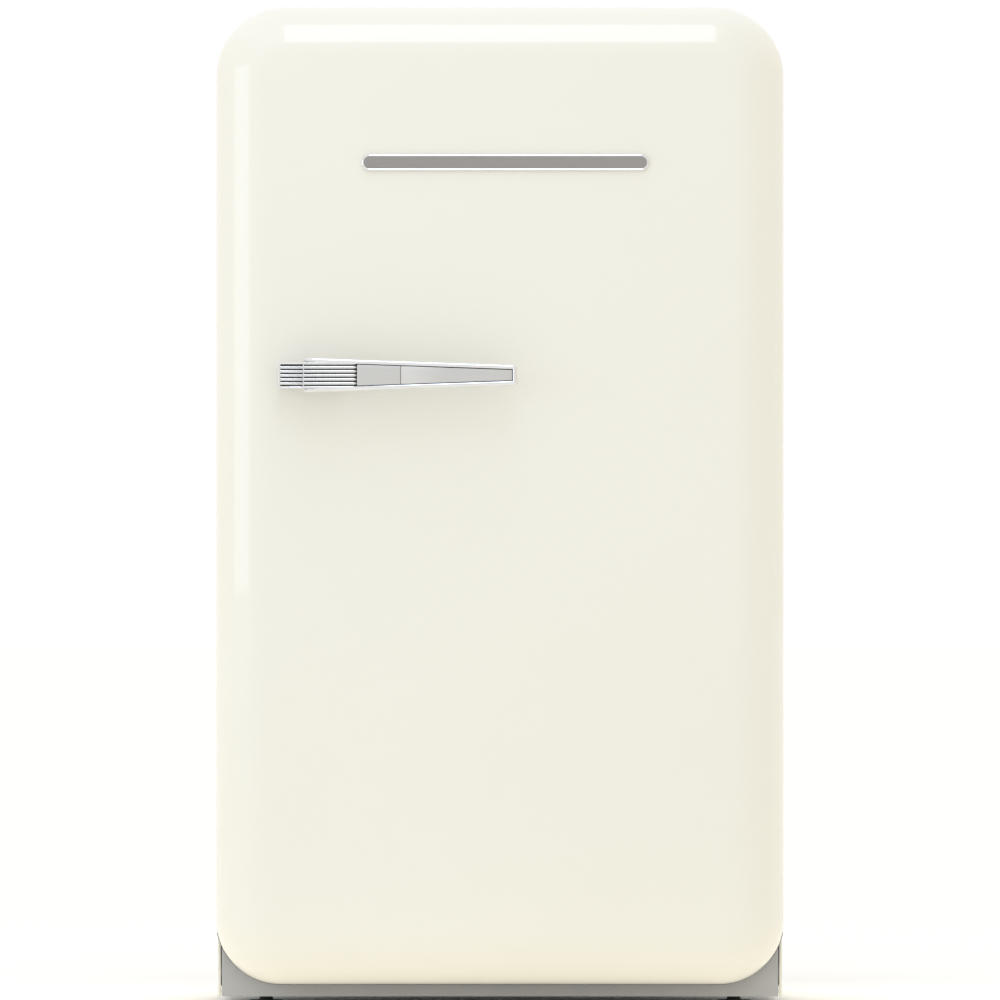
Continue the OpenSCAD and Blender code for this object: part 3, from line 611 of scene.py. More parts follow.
def leverRing(inset, depth):  # the lever's outline, sunk at the fixed end where the ribs run out over the rim
    half = (hz1 - hz0) / 2 - inset
    r = max(handle["rim"] - inset, 0.8 * mm)
    ring = roundRing(hx0 + inset, hx1 - inset, -half, half, r, r, 6, 24)
    z = leverZ + ring[:, 1] / half * (leverHalf(ring[:, 0]) - inset)
    sunk = (ring[:, 0] < hx0 + handle["dipWide"]) * (np.abs(z - leverZ) < handle["dipHalf"])
    dip = handle["dip"] * sunk
    return np.stack([ring[:, 0], hy0 + np.maximum(depth, dip) + leverBend(ring[:, 0]), z], -1)


def panelPlate(x0, x1, count, edge, depth, thick=0.8 * mm):
    # a plate of the lever's taper, edge inside its outline, with a small bevel all round
    bevel, drop, flat = 0.6 * mm, 0.45 * mm, 0.94  # the bevel's width and depth, and where it starts in t
    across = np.concatenate([[x0, x0 + 0.25 * mm, x0 + bevel], np.linspace(x0, x1, count + 2)[1:-1],
                             [x1 - bevel, x1 - 0.25 * mm, x1]])
    rows = np.array([-1, -0.975, -flat, -0.5, 0, 0.5, flat, 0.975, 1])

    def front(x, t):
        rim = np.maximum(np.abs(t) - flat, 0) / 0.06
        end = np.maximum(bevel - np.minimum(x - x0, x1 - x), 0) / bevel
        return hy0 + depth + leverBend(x) + drop * np.maximum(rim, end) ** 2
    return reliefPlate(across, rows, lambda x: leverHalf(x) - edge, leverZ, front, thick)


def ribBars(x0, x1, depth, first, last, tip):
    # rounded bars along X, their half round even in size and falling to nothing over the tip
    h = handle
    bars = []
    for k in range(first, last):
        z = h["ribLow"] + k * h["ribPitch"]
        half = h["ribWide"] / 2
        x = np.array([x0, x0 + 0.2 * mm, x1 - tip, x1 - 0.6 * tip, x1 - 0.25 * tip, x1])
        size = half * np.array([0.8, 1, 1, 0.85, 0.55, 0.05])
        turn = np.radians(np.linspace(0, 180, 9))
        ring = np.stack([np.cos(turn), -np.sin(turn)], -1)
        zs = z + size[:, None] * ring[:, 0]
        ys = depth + leverBend(x)[:, None] * (first == 0) + size[:, None] * 0.8 * ring[:, 1]
        bars.append(stack(np.stack([np.broadcast_to(x[:, None], zs.shape), ys, zs], -1)))
    return join(*bars)


def makeHandle():
    h = handle
    deep = hy1 - hy0
    # (inset, depth) in mm: the floor under the panels, up to the rim, over its round and down the outside
    levels = [(6, 2.4), (4.25, 2.4), (4.15, 0.5), (3.7, 0.12), (3.1, 0.0), (1.5, 0.25), (0.7, 0.8),
              (0.2, 1.8), (0, 3.2)]
    rings = [leverRing(i * mm, d * mm) for i, d in levels]
    back = [leverRing(i * mm, deep - (d + 3.2) * mm) for i, d in [(0, 5), (0.6, 2.4), (2.4, 0.6), (5, 0)]]
    addPiece("handleLever", stack(rings + back), "door", "chrome", ["handle_lever"], 30)
    edge = h["rim"] + h["channel"]
    near = panelPlate(h["ribEnd"] + 0.4 * mm, h["crease"] - 0.2 * mm, 6, edge, 0.5 * mm)
    far = panelPlate(h["crease"] + 0.35 * mm, hx1 - h["rim"] - h["channel"], 12, edge, 0.5 * mm)
    addPiece("handlePanel", join(near, far), "door", "satin_steel", ["handle_panel"], 30)
    # black plates behind the lever's panels and the block's ribs: dark pieces put where the chrome channels
    # are only in shade, painted shade
    grooveShadeBed = panelPlate(hx0 + 0.9 * mm, hx1 - 4.1 * mm, 16, 4.1 * mm, 1.6 * mm, 0.6 * mm)
    blockShadeBed = softBox(bx0 + 2.4 * mm, hx0 + 0.4 * mm, by0 + 1.7 * mm, by0 + 3 * mm,
                       bz0 + 2 * mm, bz1 - 2 * mm, 0.4 * mm, "front")
    addPiece("handleGrooveShade", join(grooveShadeBed, blockShadeBed), "door", "black_plastic", (), 30)
    leverRibs = ribBars(hx0 + 0.5 * mm, h["ribEnd"], hy0 + 1.5 * mm, 0, 7, 3.4 * mm)
    blockRibs = ribBars(bx0 + 2.4 * mm, hx0 + 0.2 * mm, by0 + 1.75 * mm, 1, 6, 0.6 * mm)
    outer = [softBox(bx0 + 2 * mm, hx0 + 0.2 * mm, by0 + 0.6 * mm, by0 + 2.6 * mm, z - 0.8 * mm, z + 0.8 * mm,
                     0.6 * mm) for z in (bz0 + 2.2 * mm, bz1 - 2.2 * mm)]
    block = softBox(bx0, hx0 + 0.4 * mm, by0 + 2.2 * mm, by1 + h["seat"], bz0, bz1, 1.8 * mm, "front", 5,
                    3 * mm)
    lip = fromLevel(by0, (2.7, 2.6), (2.7, 0.9), (2, 0.3), (0.7, 0.4), (0.1, 1.8), (0, 4), (1, 4.4))
    rim = layered((bx0, hx0 + 6 * mm, bz0, bz1), lip, (3 * mm, 3 * mm), "front", 5, 24, True)
    rim[0][:, 1] += 3.4 * mm * (rim[0][:, 0] > hx0 + 0.4 * mm)  # it ends under the lever
    post = softBox(hx0 - 1 * mm, bx1, by0 + 2 * mm, by1 + h["seat"], bz0 + 1.5 * mm, bz1 - 1.5 * mm, 2.5 * mm,
                   "front", 5, 5 * mm)
    addPiece("handleBase", join(block, rim, post, *outer), "door", "chrome", ["handle_base"], 25)
    addPiece("handleRibs", join(leverRibs, blockRibs), "door", "satin_steel", (), 35, "ribMetal")


def makeBadge():
    x0, x1, y0, y1, z0, z1 = spans("badge")
    deep = y1 + 1.5 * mm
    ridge = fromLevel(y0, (0, 1.3), (0.5, 0.4), (1.3, 0), (2, 0.3), (2.4, 0.9), (3, 0.9))
    bezel = layered((x0, x1, z0, z1), fromLevel(deep, (1, 0), (0, -1)) + ridge, (8 * mm, 8 * mm), "front", 12)
    inlay = layered((x0 + 2.5 * mm, x1 - 2.5 * mm, z0 + 2.5 * mm, z1 - 2.5 * mm),
                    fromLevel(y0, (0.4, 1.4), (0, 0.8), (0.4, 0.5)), (5.4 * mm, 5.4 * mm), "front", 10)
    addPiece("badgeBezel", bezel, "door", "chrome", ["badge"], 30)
    addPiece("badgeInlay", inlay, "door", "satin_steel", (), 30, "badgeSatin")


makeHandle()
makeBadge()
print("handle and badge made")


# ---- door bins ----

def openTray(area, low, high, wall, corner, foot):
    # outside from the rounded foot up to the rim, over its half round, and down inside to the floor
    outside = arcPoints((foot, low + foot), foot, 270, 180, 5)
    over = arcPoints((wall / 2, high - wall / 2), wall / 2, 180, 0, 6)
    inner = max(foot - wall, 1 * mm)
    inside = arcPoints((wall + inner, low + wall + inner), inner, 180, 270, 5)
    return layered(area, np.concatenate([outside, over, inside]), (corner, corner), "top", 6)


def makeBins():
    wall, corner, foot = 2.5 * mm, 14 * mm, 7 * mm
    for node, name in (("dairy_bin", "dairyBin"), ("middle_bin", "middleBin"), ("bottle_bin", "bottleBin")):
        x0, x1, y0, y1, z0, z1 = spans(node)
        tray = openTray((x0 + 1.5 * mm, x1 - 1.5 * mm, y0, y1), z0, z1, wall, corner, foot)
        hook = softBox(x1 - 3.4 * mm, x1, y0 + 8 * mm, -158 * mm, z1 - 24 * mm, z1 - 8 * mm, 1 * mm)
        bead = softBox(x0 + 16 * mm, x1 - 16 * mm, y1 - 2.4 * mm, y1, z1 - 12 * mm, z1 - 6 * mm, 1 * mm)
        addPiece(name, join(tray, mirrored(hook), bead), "door", "clear_plastic", [node])


def makeDairyLid():
    x1, y0, y1, z0, z1 = spans("dairy_lid")[1:]
    wall, bend, half = 2.4 * mm, 12 * mm, 192.4 * mm
    pivot = (0, -214 * mm, 790 * mm)
    top = z1 - 0.5 * mm
    outer = arcPoints((y1 - bend, top - bend), bend, 90, 0, 8)
    inner = arcPoints((y1 - bend, top - bend), bend - wall, 0, 90, 8)
    cover = np.concatenate([[(y0 + 1 * mm, top)], outer, [(y1, z0), (y1 - wall, z0)], inner,
                            [(y0 + 1 * mm, top - wall)]])
    pin = fromLevel(0, (0, 190), (2.4, 190.1)) + fromLevel(x1, (2.4, -0.4), (2, 0), (0, 0))
    hub = fromLevel(0, (0, 184), (3.2, 184.4), (3.2, 192), (0, 192.4))
    turned = [mirrored(lathe(profile, pivot, "x", 16)) for profile in (pin, hub)]
    lid = join(extrudeX(cover, -half, half), *turned)
    addPiece("dairyLid", lid, "dairy_lid", "clear_plastic", ["dairy_lid"])


def makeBottleRail():
    x0, x1, y0, y1, z0, z1 = spans("bottle_rail")
    r = (z1 - z0) / 2
    mid = (z0 + z1) / 2
    corners = [(x0 + r, y0, mid), (x0 + r, y1 - r, mid), (x1 - r, y1 - r, mid), (x1 - r, y0, mid)]
    caps = mirrored(softBox(x1 - 8 * mm, x1, y0 - 4 * mm, y0 + 8 * mm, mid - 6 * mm, mid + 6 * mm, 2 * mm))
    rail = tube(smoothPath(corners, 14 * mm, 8), r - 0.1 * mm, 16)
    addPiece("bottleRail", join(rail, caps), "door", "chrome", ["bottle_rail"])


makeBins()
makeDairyLid()
makeBottleRail()
print("door bins made")


# ---- cabinet ----

shelves = {"pitch": 154 * mm, "count": 3, "glass": 4 * mm, "above": 3 * mm, "below": 5 * mm}


def shelfTops():  # heights of the glass surfaces, from the lowest up
    return [spans("glass_shelves")[5] - k * shelves["pitch"] for k in range(shelves["count"])][::-1]


def makeCabinetShell():
    # one folded sheet: an arch from the lower left over the top to the lower right, carried round a flat loop
    x0, x1, y0, y1, z0, z1 = spans("cabinet_shell")
    sheet, flange, corner = 1.2 * mm, 11 * mm, 67 * mm
    loop = [(sheet, y0 + 2.6 * mm)]
    loop += fromLevel(y0, (2.8, 2.2), (2.9, 0.6), (2.5, 0.1), (1.4, 0), (0.5, 0.1), (0.1, 0.5), (0, 1.2))
    loop += fromLevel(y1, (0, -1.5), (0.4, -0.4), (1.5, 0.8))
    loop += [(flange, y1 + 0.9 * mm), (flange, y1 + 0.1 * mm), (sheet, y1 + 0.1 * mm)]
    rows = []
    for inset, y in loop:
        left = arcPoints((x0 + corner, z1 - corner), corner - inset, 180, 90, 20)
        right = arcPoints((x1 - corner, z1 - corner), corner - inset, 90, 0, 20)
        low = max(inset - sheet, 0) * (y > y1)
        path = np.concatenate([[(x0 + inset, z0 + low)], left, right, [(x1 - inset, z0 + low)]])
        rows.append(place(path, y, "front"))
    shape = stack(np.stack(rows, 1))
    addPiece("cabinetShell", shape, "cabinet", "cream_paint", ["cabinet_shell"], 50)


def makePlinth():
    x0, x1, y0, y1, z0, z1 = spans("plinth")
    face = softBox(x0, x1, y0, y0 + 3.2 * mm, z0, z1, 1.4 * mm, "front", 4)
    sideReturns = mirrored(softBox(x1 - 3 * mm, x1, y0 + 0.5 * mm, y1, z0 + 0.5 * mm, z1 - 0.5 * mm, 1 * mm,
                                   "front"))
    top = softBox(x0, x1, y0 + 0.5 * mm, y1, z1 - 2.6 * mm, z1, 0.8 * mm)
    lip = softBox(x0 + 3 * mm, x1 - 3 * mm, y0 + 0.6 * mm, y0 + 9 * mm, z0, z0 + 2.4 * mm, 0.8 * mm)
    addPiece("plinth", join(face, sideReturns, top, lip), "cabinet", "grey_plastic", ["plinth"])


def makeInnerLiner():
    x0, x1, y0, y1, z0, z1 = spans("inner_liner")
    wall, r = 2 * mm, 18 * mm
    stepY, stepZ, bend = 73 * mm, 296 * mm, 9 * mm
    area = (x0 + wall, x1 - wall, z0 + wall, z1 - wall)
    back = y1 - wall
    outside = arcPoints((r, back - r), r + wall, 90, 180, 6)
    inside = arcPoints((r, back - r), r, 180, 90, 6)
    lip = [(-wall, y0), (-wall, y0 - 1.4 * mm), (-0.8 * mm, y0 - 1.4 * mm), (0, y0 + 1 * mm)]
    cup = layered(area, np.concatenate([outside, lip, inside]), (r, r), "front", 8, 4)
    low, elbow = area[2], (stepY + bend, stepZ - bend)
    step = np.concatenate([[(stepY, low)], arcPoints(elbow, bend, 180, 90, 6),
                           [(back, stepZ), (back, stepZ - wall)],
                           arcPoints(elbow, bend - wall, 90, 180, 6), [(stepY + wall, low)]])
    ledges = []
    for top in shelfTops():
        under = top - shelves["glass"]
        ledges.append(mirrored(softBox(area[1] - 8 * mm, area[1] + 0.5 * mm, -90 * mm, back - 1 * mm,
                                       under - 6 * mm, under, 2 * mm)))
    cupPiece = addPiece("innerLiner", cup, "cabinet", "white_plastic", ["inner_liner"])
    corner = softBox(-0.3, 0.3, stepY + wall, 0.3, 0.05, stepZ - wall, 1 * mm)
    cutter = addPiece("linerCutter", corner, "cabinet", "white_plastic")
    cut = cupPiece.modifiers.new("step", "BOOLEAN")
    cut.operation, cut.object, cut.solver = "DIFFERENCE", cutter, "EXACT"
    bpy.context.view_layer.update()
    done = bpy.data.meshes.new_from_object(cupPiece.evaluated_get(bpy.context.evaluated_depsgraph_get()))
    cupPiece.modifiers.clear()
    cupPiece.data = done
    bpy.data.objects.remove(cutter)
    bent = extrudeX(step, area[0] - 0.5 * mm, area[1] + 0.5 * mm)
    addPiece("linerStep", bent, "cabinet", "white_plastic")
    addPiece("shelfRails", join(*ledges), "cabinet", "white_plastic", ["shelf_rails"])


def makeFrontFrame():
    x0, x1, y0, y1, z0, z1 = spans("front_frame")
    inner = spans("inner_liner")
    hem = 1.1 * mm
    outer = [place(roundRing(x0 + i, x1 - i, z0 + i, z1 - i, 65 * mm - i, 3 * mm, 16, 2), y, "front")
             for i, y in ((hem, y1), (hem, y0 + 0.5 * mm), (hem + 0.5 * mm, y0))]
    r = 20 * mm
    hole = [place(roundRing(inner[0] + i, inner[1] - i, inner[4] + i, inner[5] - i, r, r, 16, 2), y, "front")
            for i, y in fromLevel(y0, (-0.4, 0), (0, 0.5)) + [(0, y1)]]
    addPiece("frontFrame", stack(outer + hole, closed=True), "cabinet", "grey_paint",
             ["front_frame"])


makeCabinetShell()
makePlinth()
makeInnerLiner()
makeFrontFrame()
print("cabinet made")


# ---- inside ----

def makeShelves():
    x0, x1, y0, y1 = spans("glass_shelves")[:4]
    glass = [softBox(x0, x1, y0, y1, top - shelves["glass"], top, 1.2 * mm, "top", 4, 6 * mm)
             for top in shelfTops()]
    addPiece("glassShelves", join(*glass), "cabinet", "shelf_glass", ["glass_shelves"])
    # the strip: a half-round nose, then the lower lip, the groove for the glass, and the top lip
    x0, x1, y0, y1 = spans("shelf_trims")[:4]
    strips = []
    for top in shelfTops():
        under = top - shelves["glass"]
        z0, z1 = under - shelves["below"], top + shelves["above"]
        nose = arcPoints((y0 + 5 * mm, (z0 + z1) / 2), (z1 - z0) / 2, 90, 270, 12)
        nose[:, 0] = y0 + (nose[:, 0] - nose[:, 0].min()) * 5 * mm / ((z1 - z0) / 2)
        rest = [(y0 + 7 * mm, z0), (y1, under - 2.4 * mm), (y1, under), (y0 + 6 * mm, under),
                (y0 + 6 * mm, top), (y1, top), (y1, top + 2.4 * mm), (y0 + 7 * mm, z1)]
        strips.append(extrudeX(np.concatenate([nose, rest]), x0, x1))
    addPiece("shelfTrims", join(*strips), "cabinet", "grey_plastic", ["shelf_trims"], 30)


def makeCrisper():
    x0, x1, y0, y1, z0, z1 = spans("crisper_drawer")
    tub = openTray((x0, x1, y0 + 4 * mm, y1), z0, z1 - 12 * mm, 3 * mm, 16 * mm, 16 * mm)
    front = layered((x0, x1, z0, z1), fromLevel(y0, (1.2, 5), (0, 4), (0, 1.6), (1.4, 0.3), (2.6, 0)),
                    (8 * mm, 18 * mm), "front", 8)
    grip = softBox(-58 * mm, 58 * mm, y0 + 1 * mm, y0 + 13 * mm, z1 - 40 * mm, z1 - 36 * mm, 1.5 * mm)
    raised = fromLevel(y0, (0, 2), (0, 0.4), (1, 0), (3, 0), (4, 0.6), (4, 2))
    band = layered((-64 * mm, 64 * mm, z1 - 42 * mm, z1 - 16 * mm), raised, (9 * mm, 9 * mm), "front", 8,
                   closed=True)
    addPiece("crisperDrawer", join(tub, front, grip, band), "crisper", "clear_plastic", ["crisper_drawer"])


def makeIceBox():
    x0, x1, y0, y1, z0, z1 = spans("ice_flap_frame")
    border = [(0, y1)] + fromLevel(y0, (0, 2), (0.7, 0.6), (2, 0))
    outer = outlines((x0, x1, z0, z1), border, (8 * mm, 8 * mm), "front", 8, 2)
    mouth = fromLevel(y0, (-1.5, 0), (-0.4, 0.5), (0, 1.5)) + [(0, y1)]
    hole = outlines((x0 + 9 * mm, x1 - 9 * mm, z0 + 9 * mm, z1 - 15 * mm), mouth, (3 * mm, 3 * mm), "front",
                    8, 2)
    stop = softBox(-30 * mm, 30 * mm, y0 + 7.4 * mm, y1, z0 + 8 * mm, z0 + 17 * mm, 1 * mm)
    shape = join(stack(outer + hole, closed=True), stop)
    addPiece("iceFlapFrame", shape, "cabinet", "white_plastic", ["ice_flap_frame"])
    x0, x1, y0, y1, z0, z1 = spans("ice_flap")
    pivotZ = z1 - 4 * mm
    flapX = 200.8 * mm
    section = fromLevel(y1, (1.5, -0.6), (0, -1.6))
    section += fromLevel(y0, (0, 2), (0.8, 0.8), (3, 0.5), (10, 0.5), (12, 1.6))
    panel = layered((-flapX, flapX, z0, z1), section, (6 * mm, 8 * mm), "front", 6)
    ridge = [softBox(-flapX + 26 * mm, flapX - 26 * mm, y0 + 0.6 * mm, y0 + 2.2 * mm, z, z + 4 * mm, 0.7 * mm)
             for z in np.arange(z0 + 40 * mm, z1 - 20 * mm, 12 * mm)]
    pull = softBox(-46 * mm, 46 * mm, y0, y0 + 3 * mm, z0 + 12 * mm, z0 + 24 * mm, 1.4 * mm, "front")
    pin = fromLevel(flapX, (0, -6), (2.4, -5.9)) + fromLevel(x1, (2.4, -0.5), (1.9, 0), (0, 0))
    pins = mirrored(lathe(pin, (0, (y0 + y1) / 2, pivotZ), "x", 16))
    addPiece("iceFlap", join(panel, pull, pins, *ridge), "ice_flap", "ice_plastic", ["ice_flap"])


def makeLamp():
    housing, lens = spans("lamp_housing"), spans("lamp_lens")
    x0, x1 = housing[:2]

    def rings(box, r, profile):  # outlines whose corners keep their radius
        return [place(roundRing(box[2] + i, box[3] - i, box[4] + i, box[5] - i, r, r, 6, 2), x, "side")
                for i, x in profile]
    outside = rings(housing, 8 * mm, [(0, x1)] + fromLevel(x0, (0, 5), (1.2, 1.6), (4, 0.2)))
    window = rings(lens, 4 * mm, fromLevel(x0, (2.6, 0.2), (3, 2), (-3, 3.4)))
    inside = rings(housing, 6 * mm, [(2 * mm, x0 + 4 * mm), (2 * mm, x1)])
    shell = stack(outside + window + inside, closed=True)
    addPiece("lampHousing", shell, "cabinet", "white_plastic", ["lamp_housing"])
    z0, z1 = lens[4] + 3 * mm, lens[5] - 3 * mm
    flute = [softBox(x0 + 0.3 * mm, x0 + 3.2 * mm, y, y + 2.6 * mm, z0, z1, 1 * mm)
             for y in np.arange(lens[2] + 4 * mm, lens[3] - 6 * mm, 4 * mm)]
    cover = softBox(lens[0] + 1 * mm, *lens[1:], 0.8 * mm, "side")
    addPiece("lampLens", join(cover, *flute), "cabinet", "ice_plastic", ["lamp_lens"])


def makeThermostat():
    x0, x1, y0, y1, z0, z1 = spans("thermostat_knob")
    centre = (0, (y0 + y1) / 2, (z0 + z1) / 2)
    turned = fromLevel(x1, (0, -9), (2.9, -9), (2.9, -10.5), (13.6, -10.4), (14, -11.5))
    disc = lathe(turned + fromLevel(x0, (13.2, 5), (12, 4), (0, 4)), centre, "x", 48)
    grip = softBox(x0, x0 + 5 * mm, y0 + 11 * mm, y1 - 11 * mm, z0 + 2 * mm, z1 - 2 * mm, 1.4 * mm, "side")
    mark = softBox(x0, x0 + 4.6 * mm, centre[1] - 0.7 * mm, centre[1] + 0.7 * mm, z1 - 3 * mm, z1 - 0.6 * mm,
                   0.3 * mm)
    addPiece("thermostatKnob", join(disc, grip, mark), "thermostat_knob", "grey_plastic", ["thermostat_knob"])


makeShelves()
makeCrisper()
makeIceBox()
makeLamp()
makeThermostat()
print("inside made")


# ---- machine bay, condenser and stand ----

coil = {"rows": 8, "pitch": 80 * mm, "half": 190 * mm, "low": 300 * mm, "pipe": 2.4 * mm}


def coilPath():  # straight rows joined by half circles of half the pitch
    y = sum(spans("condenser_coil")[2:4]) / 2
    rows = []
    for i in range(coil["rows"]):
        side = 1 if i % 2 == 0 else -1
        z = coil["low"] + i * coil["pitch"]
        rows.append(np.array([[-side * coil["half"], z], [0, z], [side * coil["half"], z]]))
        if i < coil["rows"] - 1:
            bend = arcPoints((coil["half"], z + coil["pitch"] / 2), coil["pitch"] / 2, -90, 90, 14)[1:-1]
            rows.append(bend * [side, 1])
    return place(np.concatenate(rows), y, "front")


def makeCondenser():
    path = coilPath()
    addPiece("condenserCoil", tube(path, coil["pipe"], 12, (0, 1, 0)), "cabinet", "black_paint",
             ["condenser_coil"])
    y = path[0, 1]
    low, top = path[0], path[-1]
    drierX, drierY, drierZ = -120 * mm, 262 * mm, 120 * mm
    comp = spans("compressor")
    cx, cy = (comp[0] + comp[1]) / 2, (comp[2] + comp[3]) / 2
    leaveX, leaveZ, behind = -0.03, 0.15, 0.27  # where the discharge pipe turns, and the plane behind the pot
    riserX, riserZ, returnX, returnZ = -0.245, 0.236, -0.214, 0.222  # to the coil's top, and from its foot
    intakeX, intakeZ, deck, dryEnd = cx + 0.04, 0.122, 0.2498, drierZ - 0.036  # deck: under the bay panel
    discharge = [(cx - 61 * mm, cy, leaveZ), (leaveX, cy, leaveZ), (leaveX, behind, leaveZ),
                 (leaveX, behind, riserZ), (riserX, behind, riserZ), (riserX, y, riserZ), (riserX, y, top[2]),
                 (top[0] - 0.1 * mm, y, top[2])]
    liquid = [(low[0] - 0.1 * mm, y, low[2]), (returnX, y, low[2]), (returnX, y, returnZ),
              (returnX, drierY, returnZ), (drierX, drierY, returnZ), (drierX, drierY, drierZ + 0.0902)]
    suction = [(intakeX, cy + 0.0485, intakeZ), (intakeX, behind, intakeZ), (intakeX, behind, deck)]
    capillary = [(drierX, drierY, drierZ - 0.0002), (drierX, drierY, dryEnd),
                 (drierX, drierY - 0.032, dryEnd), (drierX, drierY - 0.032, deck)]
    pipes = [tube(smoothPath(route, bend, 8), r) for route, bend, r in
             ((discharge, 0.012, 2.4 * mm), (liquid, 0.010, 2.4 * mm), (suction, 0.012, 3 * mm),
              (capillary, 0.012, 1.4 * mm))]
    addPiece("refrigerantLines", join(*pipes), "cabinet", "copper", ["refrigerant_lines"])
    body = [(0, 0), (2.6, 0), (3, 5), (4, 8), (7.4, 12), (9, 17), (9, 26), (8.6, 27), (9, 28), (9, 62),
            (8.6, 63), (9, 64), (9, 73), (7.4, 78), (4, 82), (3, 85), (2.6, 90), (0, 90)]
    drier = lathe(np.array(body) * mm, (drierX, drierY, drierZ), "z", 32)
    addPiece("filterDrier", drier, "cabinet", "copper", ["filter_drier"])


def makeCompressor():
    x0, x1, y0, y1, z0, z1 = spans("compressor")
    cx, cy = (x0 + x1) / 2, (y0 + y1) / 2
    # two half shells with domed ends, (60 cos a, 38 - 25 sin a) and (60 cos a, 138 + 32 sin a), and a seam
    bottom = [(60 * math.sin(math.radians(a)), 38 - 25 * math.cos(math.radians(a))) for a in range(0, 90, 9)]
    top = [(60 * math.cos(math.radians(a)), 138 + 32 * math.sin(math.radians(a))) for a in range(0, 91, 9)]
    seam = [(60, 87), (61.4, 88), (63.6, 88.3), (64, 89.5), (64, 92.5), (63.6, 93.7), (61.4, 94),
            (60.4, 95.5)]
    profile = np.array(bottom + [(60, 42)] + seam + top) * mm
    pot = lathe(profile, (cx, cy, z0 - 13 * mm), "z", 64)
    stub = tube(smoothPath([(cx - 30 * mm, cy - 48 * mm, 0.10), (cx - 38 * mm, cy - 60 * mm, 0.10),
                            (cx - 38 * mm, cy - 60 * mm, 0.16)], 6 * mm, 6), 3 * mm)
    rib = [softBox(cx + a - 2 * mm, cx + a + 2 * mm, cy - 20 * mm, cy + 20 * mm, z1 - 6 * mm, z1 - 1.4 * mm,
                   1.4 * mm) for a in (-14 * mm, 0, 14 * mm)]
    addPiece("compressor", join(pot, stub, *rib), "cabinet", "black_paint", ["compressor"], 35)
    x0, x1, y0, y1, z0, z1 = spans("relay_cover")
    cover = softBox(x0, x1, y0, y1, z0, z1, 4 * mm, "side")
    fins = [softBox(x1 - 3 * mm, x1, y0 + 8 * mm, y1 - 8 * mm, z, z + 2.4 * mm, 1 * mm)
            for z in np.arange(z0 + 12 * mm, z1 - 12 * mm, 7 * mm)]
    addPiece("relayCover", join(cover, *fins), "cabinet", "black_plastic", ["relay_cover"])
    x0, x1, y0, y1, z0, z1 = spans("drip_tray")
    tray = openTray((x0, x1, y0, y1), z0, z1, 2 * mm, 12 * mm, 6 * mm)
    addPiece("dripTray", tray, "cabinet", "black_plastic", ["drip_tray"])


def makeFoot(side):  # a turned pad on a threaded rod: the thread is a fine zigzag
    node = "front_foot_" + side.lower()
    x0, x1, y0, y1 = spans(node)[:4]
    pad = [(0, 0), (13.5, 0), (15.6, 0.8), (17, 3), (17, 6.2), (16, 7.6), (7, 8), (6, 11), (4, 11.6)]
    thread = [(4 - 0.45 * (k % 2), 11.6 + 0.62 * k) for k in range(1, 74)]
    profile = np.array(pad + thread + [(3, 57.8), (0, 58)]) * mm
    addPiece("frontFoot" + side, lathe(profile, ((x0 + x1) / 2, (y0 + y1) / 2, 0), "z", 28),
             "foot_" + side.lower(), "black_plastic", [node], 30)


def makeRoller(side):  # turned round its axle, with the bore left open: the two end faces give way to a wall
    node = "rear_roller_" + side.lower()
    x0, x1, y0, y1, z0, z1 = spans(node)
    half, r, size = (x1 - x0) / 2, (y1 - y0) / 2, 36
    tread = fromLevel(-half, (2.6, 1.5), (5, 1.5), (5.6, 0))
    tread += [(r - 1.2 * mm, -half), (r - 0.3 * mm, -half + 0.8 * mm), (r, -half + 2 * mm)]
    points, faces = lathe(tread + [(a, -b) for a, b in tread[::-1]],
                          ((x0 + x1) / 2, (y0 + y1) / 2, (z0 + z1) / 2), "x", size)
    last = len(points) - size
    bore = [[k, (k + 1) % size, last + (k + 1) % size, last + k] for k in range(size)]
    addPiece("rearRoller" + side, (points, faces[:-2] + bore), "roller_" + side.lower(), "black_plastic",
             [node])


def makeWallSpacers():
    x1, y0, y1, z0, z1 = spans("wall_spacers")[1:]
    profile = fromLevel(y0, (0, 0), (8.4, 0), (7, 3), (6, 14))
    profile += fromLevel(y1, (7, -7), (10, -4), (11, -3), (11, -1.4), (9.6, 0), (0, 0))
    spacers = mirrored(lathe(profile, (x1 - 11 * mm, 0, (z0 + z1) / 2), "y", 32))
    addPiece("wallSpacers", spacers, "cabinet", "black_plastic", ["wall_spacers"])


makeCondenser()
makeCompressor()
for side in ("Left", "Right"):
    makeFoot(side)
    makeRoller(side)
makeWallSpacers()
print("machine bay and stand made")


# ---- room, light and camera ----

studio = {"frameWidth": 0.9567, "cameraHeight": 0.4884, "distance": 12.0, "sensor": 36.0, "floor": 30.0,
          "sky": 1.03, "frontDim": 0.1, "nearGlow": 0.2, "farGlow": 0.13, "warmth": (0.93, 0.87, 0.74)}


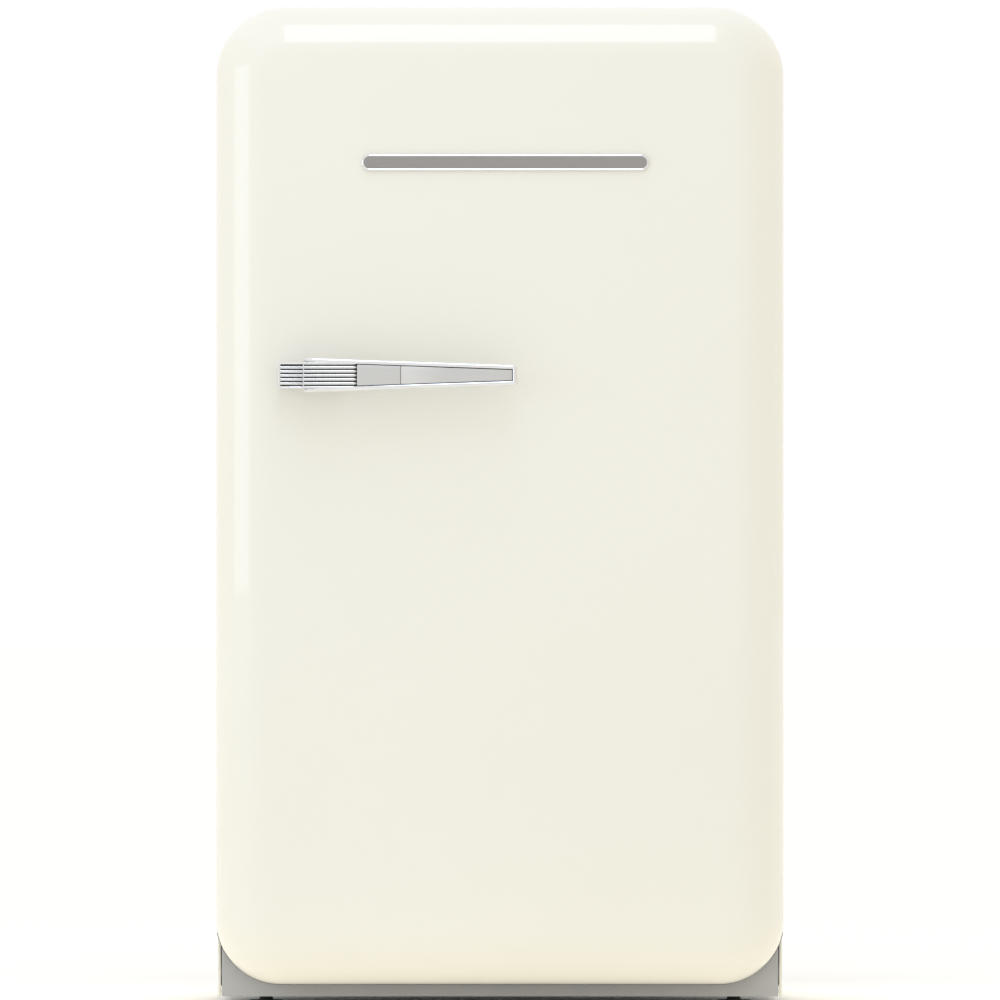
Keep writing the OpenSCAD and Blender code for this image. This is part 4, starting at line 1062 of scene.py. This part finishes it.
def makeRoom():
    size = studio["floor"]
    mesh = bpy.data.meshes.new("floor")
    corners = [(-size, -size, 0), (size, -size, 0), (size, size, 0), (-size, size, 0)]
    mesh.from_pydata(corners, [], [(0, 1, 2, 3)])
    floor = bpy.data.objects.new("floor", mesh)
    bpy.context.scene.collection.objects.link(floor)
    f = Finish("paleFloor", roughness=0.6)
    # light from the floor: a bright ring round the foot, and a low level elsewhere that ends in front
    spread = f.stretched((0.6, 1, 1))
    away = f.add("ShaderNodeVectorMath", {"operation": "LENGTH"}, {0: spread}, "Value")
    clear = f.ease(away, 0.12, 0.25)
    ring = clear * (1 - f.ease(away, 0.3, 0.62))
    level = studio["nearGlow"] * ring + studio["farGlow"] * clear * f.ease(f.axis("Y"), -0.5, 0.6)
    # painted warm light: the floor's colour turns warmer over the same ring, so the light it throws back onto
    # the door is warm
    f.set("Base Color", f.mixed(0.9 * ring + 0.1 * f.noise(1.2, 3), (0.93, 0.92, 0.89), (0.95, 0.89, 0.76)))
    f.set("Emission Color", f.mixed(level, (0, 0, 0), (0.98, 0.98, 1)))
    f.set("Emission Strength", 1.0)
    mesh.materials.append(f.material)
    world = bpy.data.worlds.new("studio")
    world.use_nodes = True
    # a white studio, a little dimmer in front and warmer low on both sides
    w = Finish.around(world.node_tree)
    x = w.axis("X")
    aside = x.maths("ABSOLUTE", x) - 0.5 * w.axis("Z")
    warm = w.add("ShaderNodeMapRange", None, {"Value": aside, "From Min": 0.1, "From Max": 0.9})
    front = w.add("ShaderNodeMapRange", None, {"Value": 0 - w.axis("Y"), "From Min": -0.5, "From Max": 0.3})
    strength = studio["sky"] - studio["frontDim"] * front
    backdrop = world.node_tree.nodes["Background"]
    world.node_tree.links.new(w.mixed(warm, (1, 1, 1), studio["warmth"]).socket, backdrop.inputs["Color"])
    world.node_tree.links.new(strength.socket, backdrop.inputs["Strength"])
    bpy.context.scene.world = world


def addSoftbox(name, centre, target, size, power, colour=(1, 1, 1)):
    light = bpy.data.lights.new(name, "AREA")
    light.shape = "RECTANGLE"
    light.size, light.size_y = size
    light.energy, light.color = power, colour
    box = bpy.data.objects.new(name, light)
    bpy.context.scene.collection.objects.link(box)
    box.location = centre
    aim = np.array(target) - np.array(centre)
    box.rotation_euler = Vector(aim).to_track_quat("-Z", "Y").to_euler()
    box.visible_camera = False


def makeLights():
    addSoftbox("leftBox", (-1.94, -1.23, 0.86), (-0.25, -0.25, 0.86), (1.35, 0.95), 5.6, (0.62, 0.77, 1))
    addSoftbox("topBox", (0, -1.34, 2.64), (0, -0.25, 0.95), (0.6, 1.6), 7.5, (0.68, 0.8, 1))
    addSoftbox("frontFill", (-1.5, -5, 4.5), (0, 0, 0.5), (2.5, 1.5), 1)


def makeCamera():
    s = studio
    lens = bpy.data.cameras.new("camera")
    lens.sensor_width = s["sensor"]
    face = spans("door_skin")[2] + 50 * mm
    lens.lens = s["sensor"] * s["distance"] / s["frameWidth"]
    lens.clip_end = 200
    camera = bpy.data.objects.new("camera", lens)
    bpy.context.scene.collection.objects.link(camera)
    camera.location = (0, face - s["distance"], s["cameraHeight"])
    camera.rotation_euler = (math.pi / 2, 0, 0)
    bpy.context.scene.camera = camera


makeRoom()
makeLights()
makeCamera()
bpy.context.scene.view_settings.view_transform = "Standard"
print("scene ready")
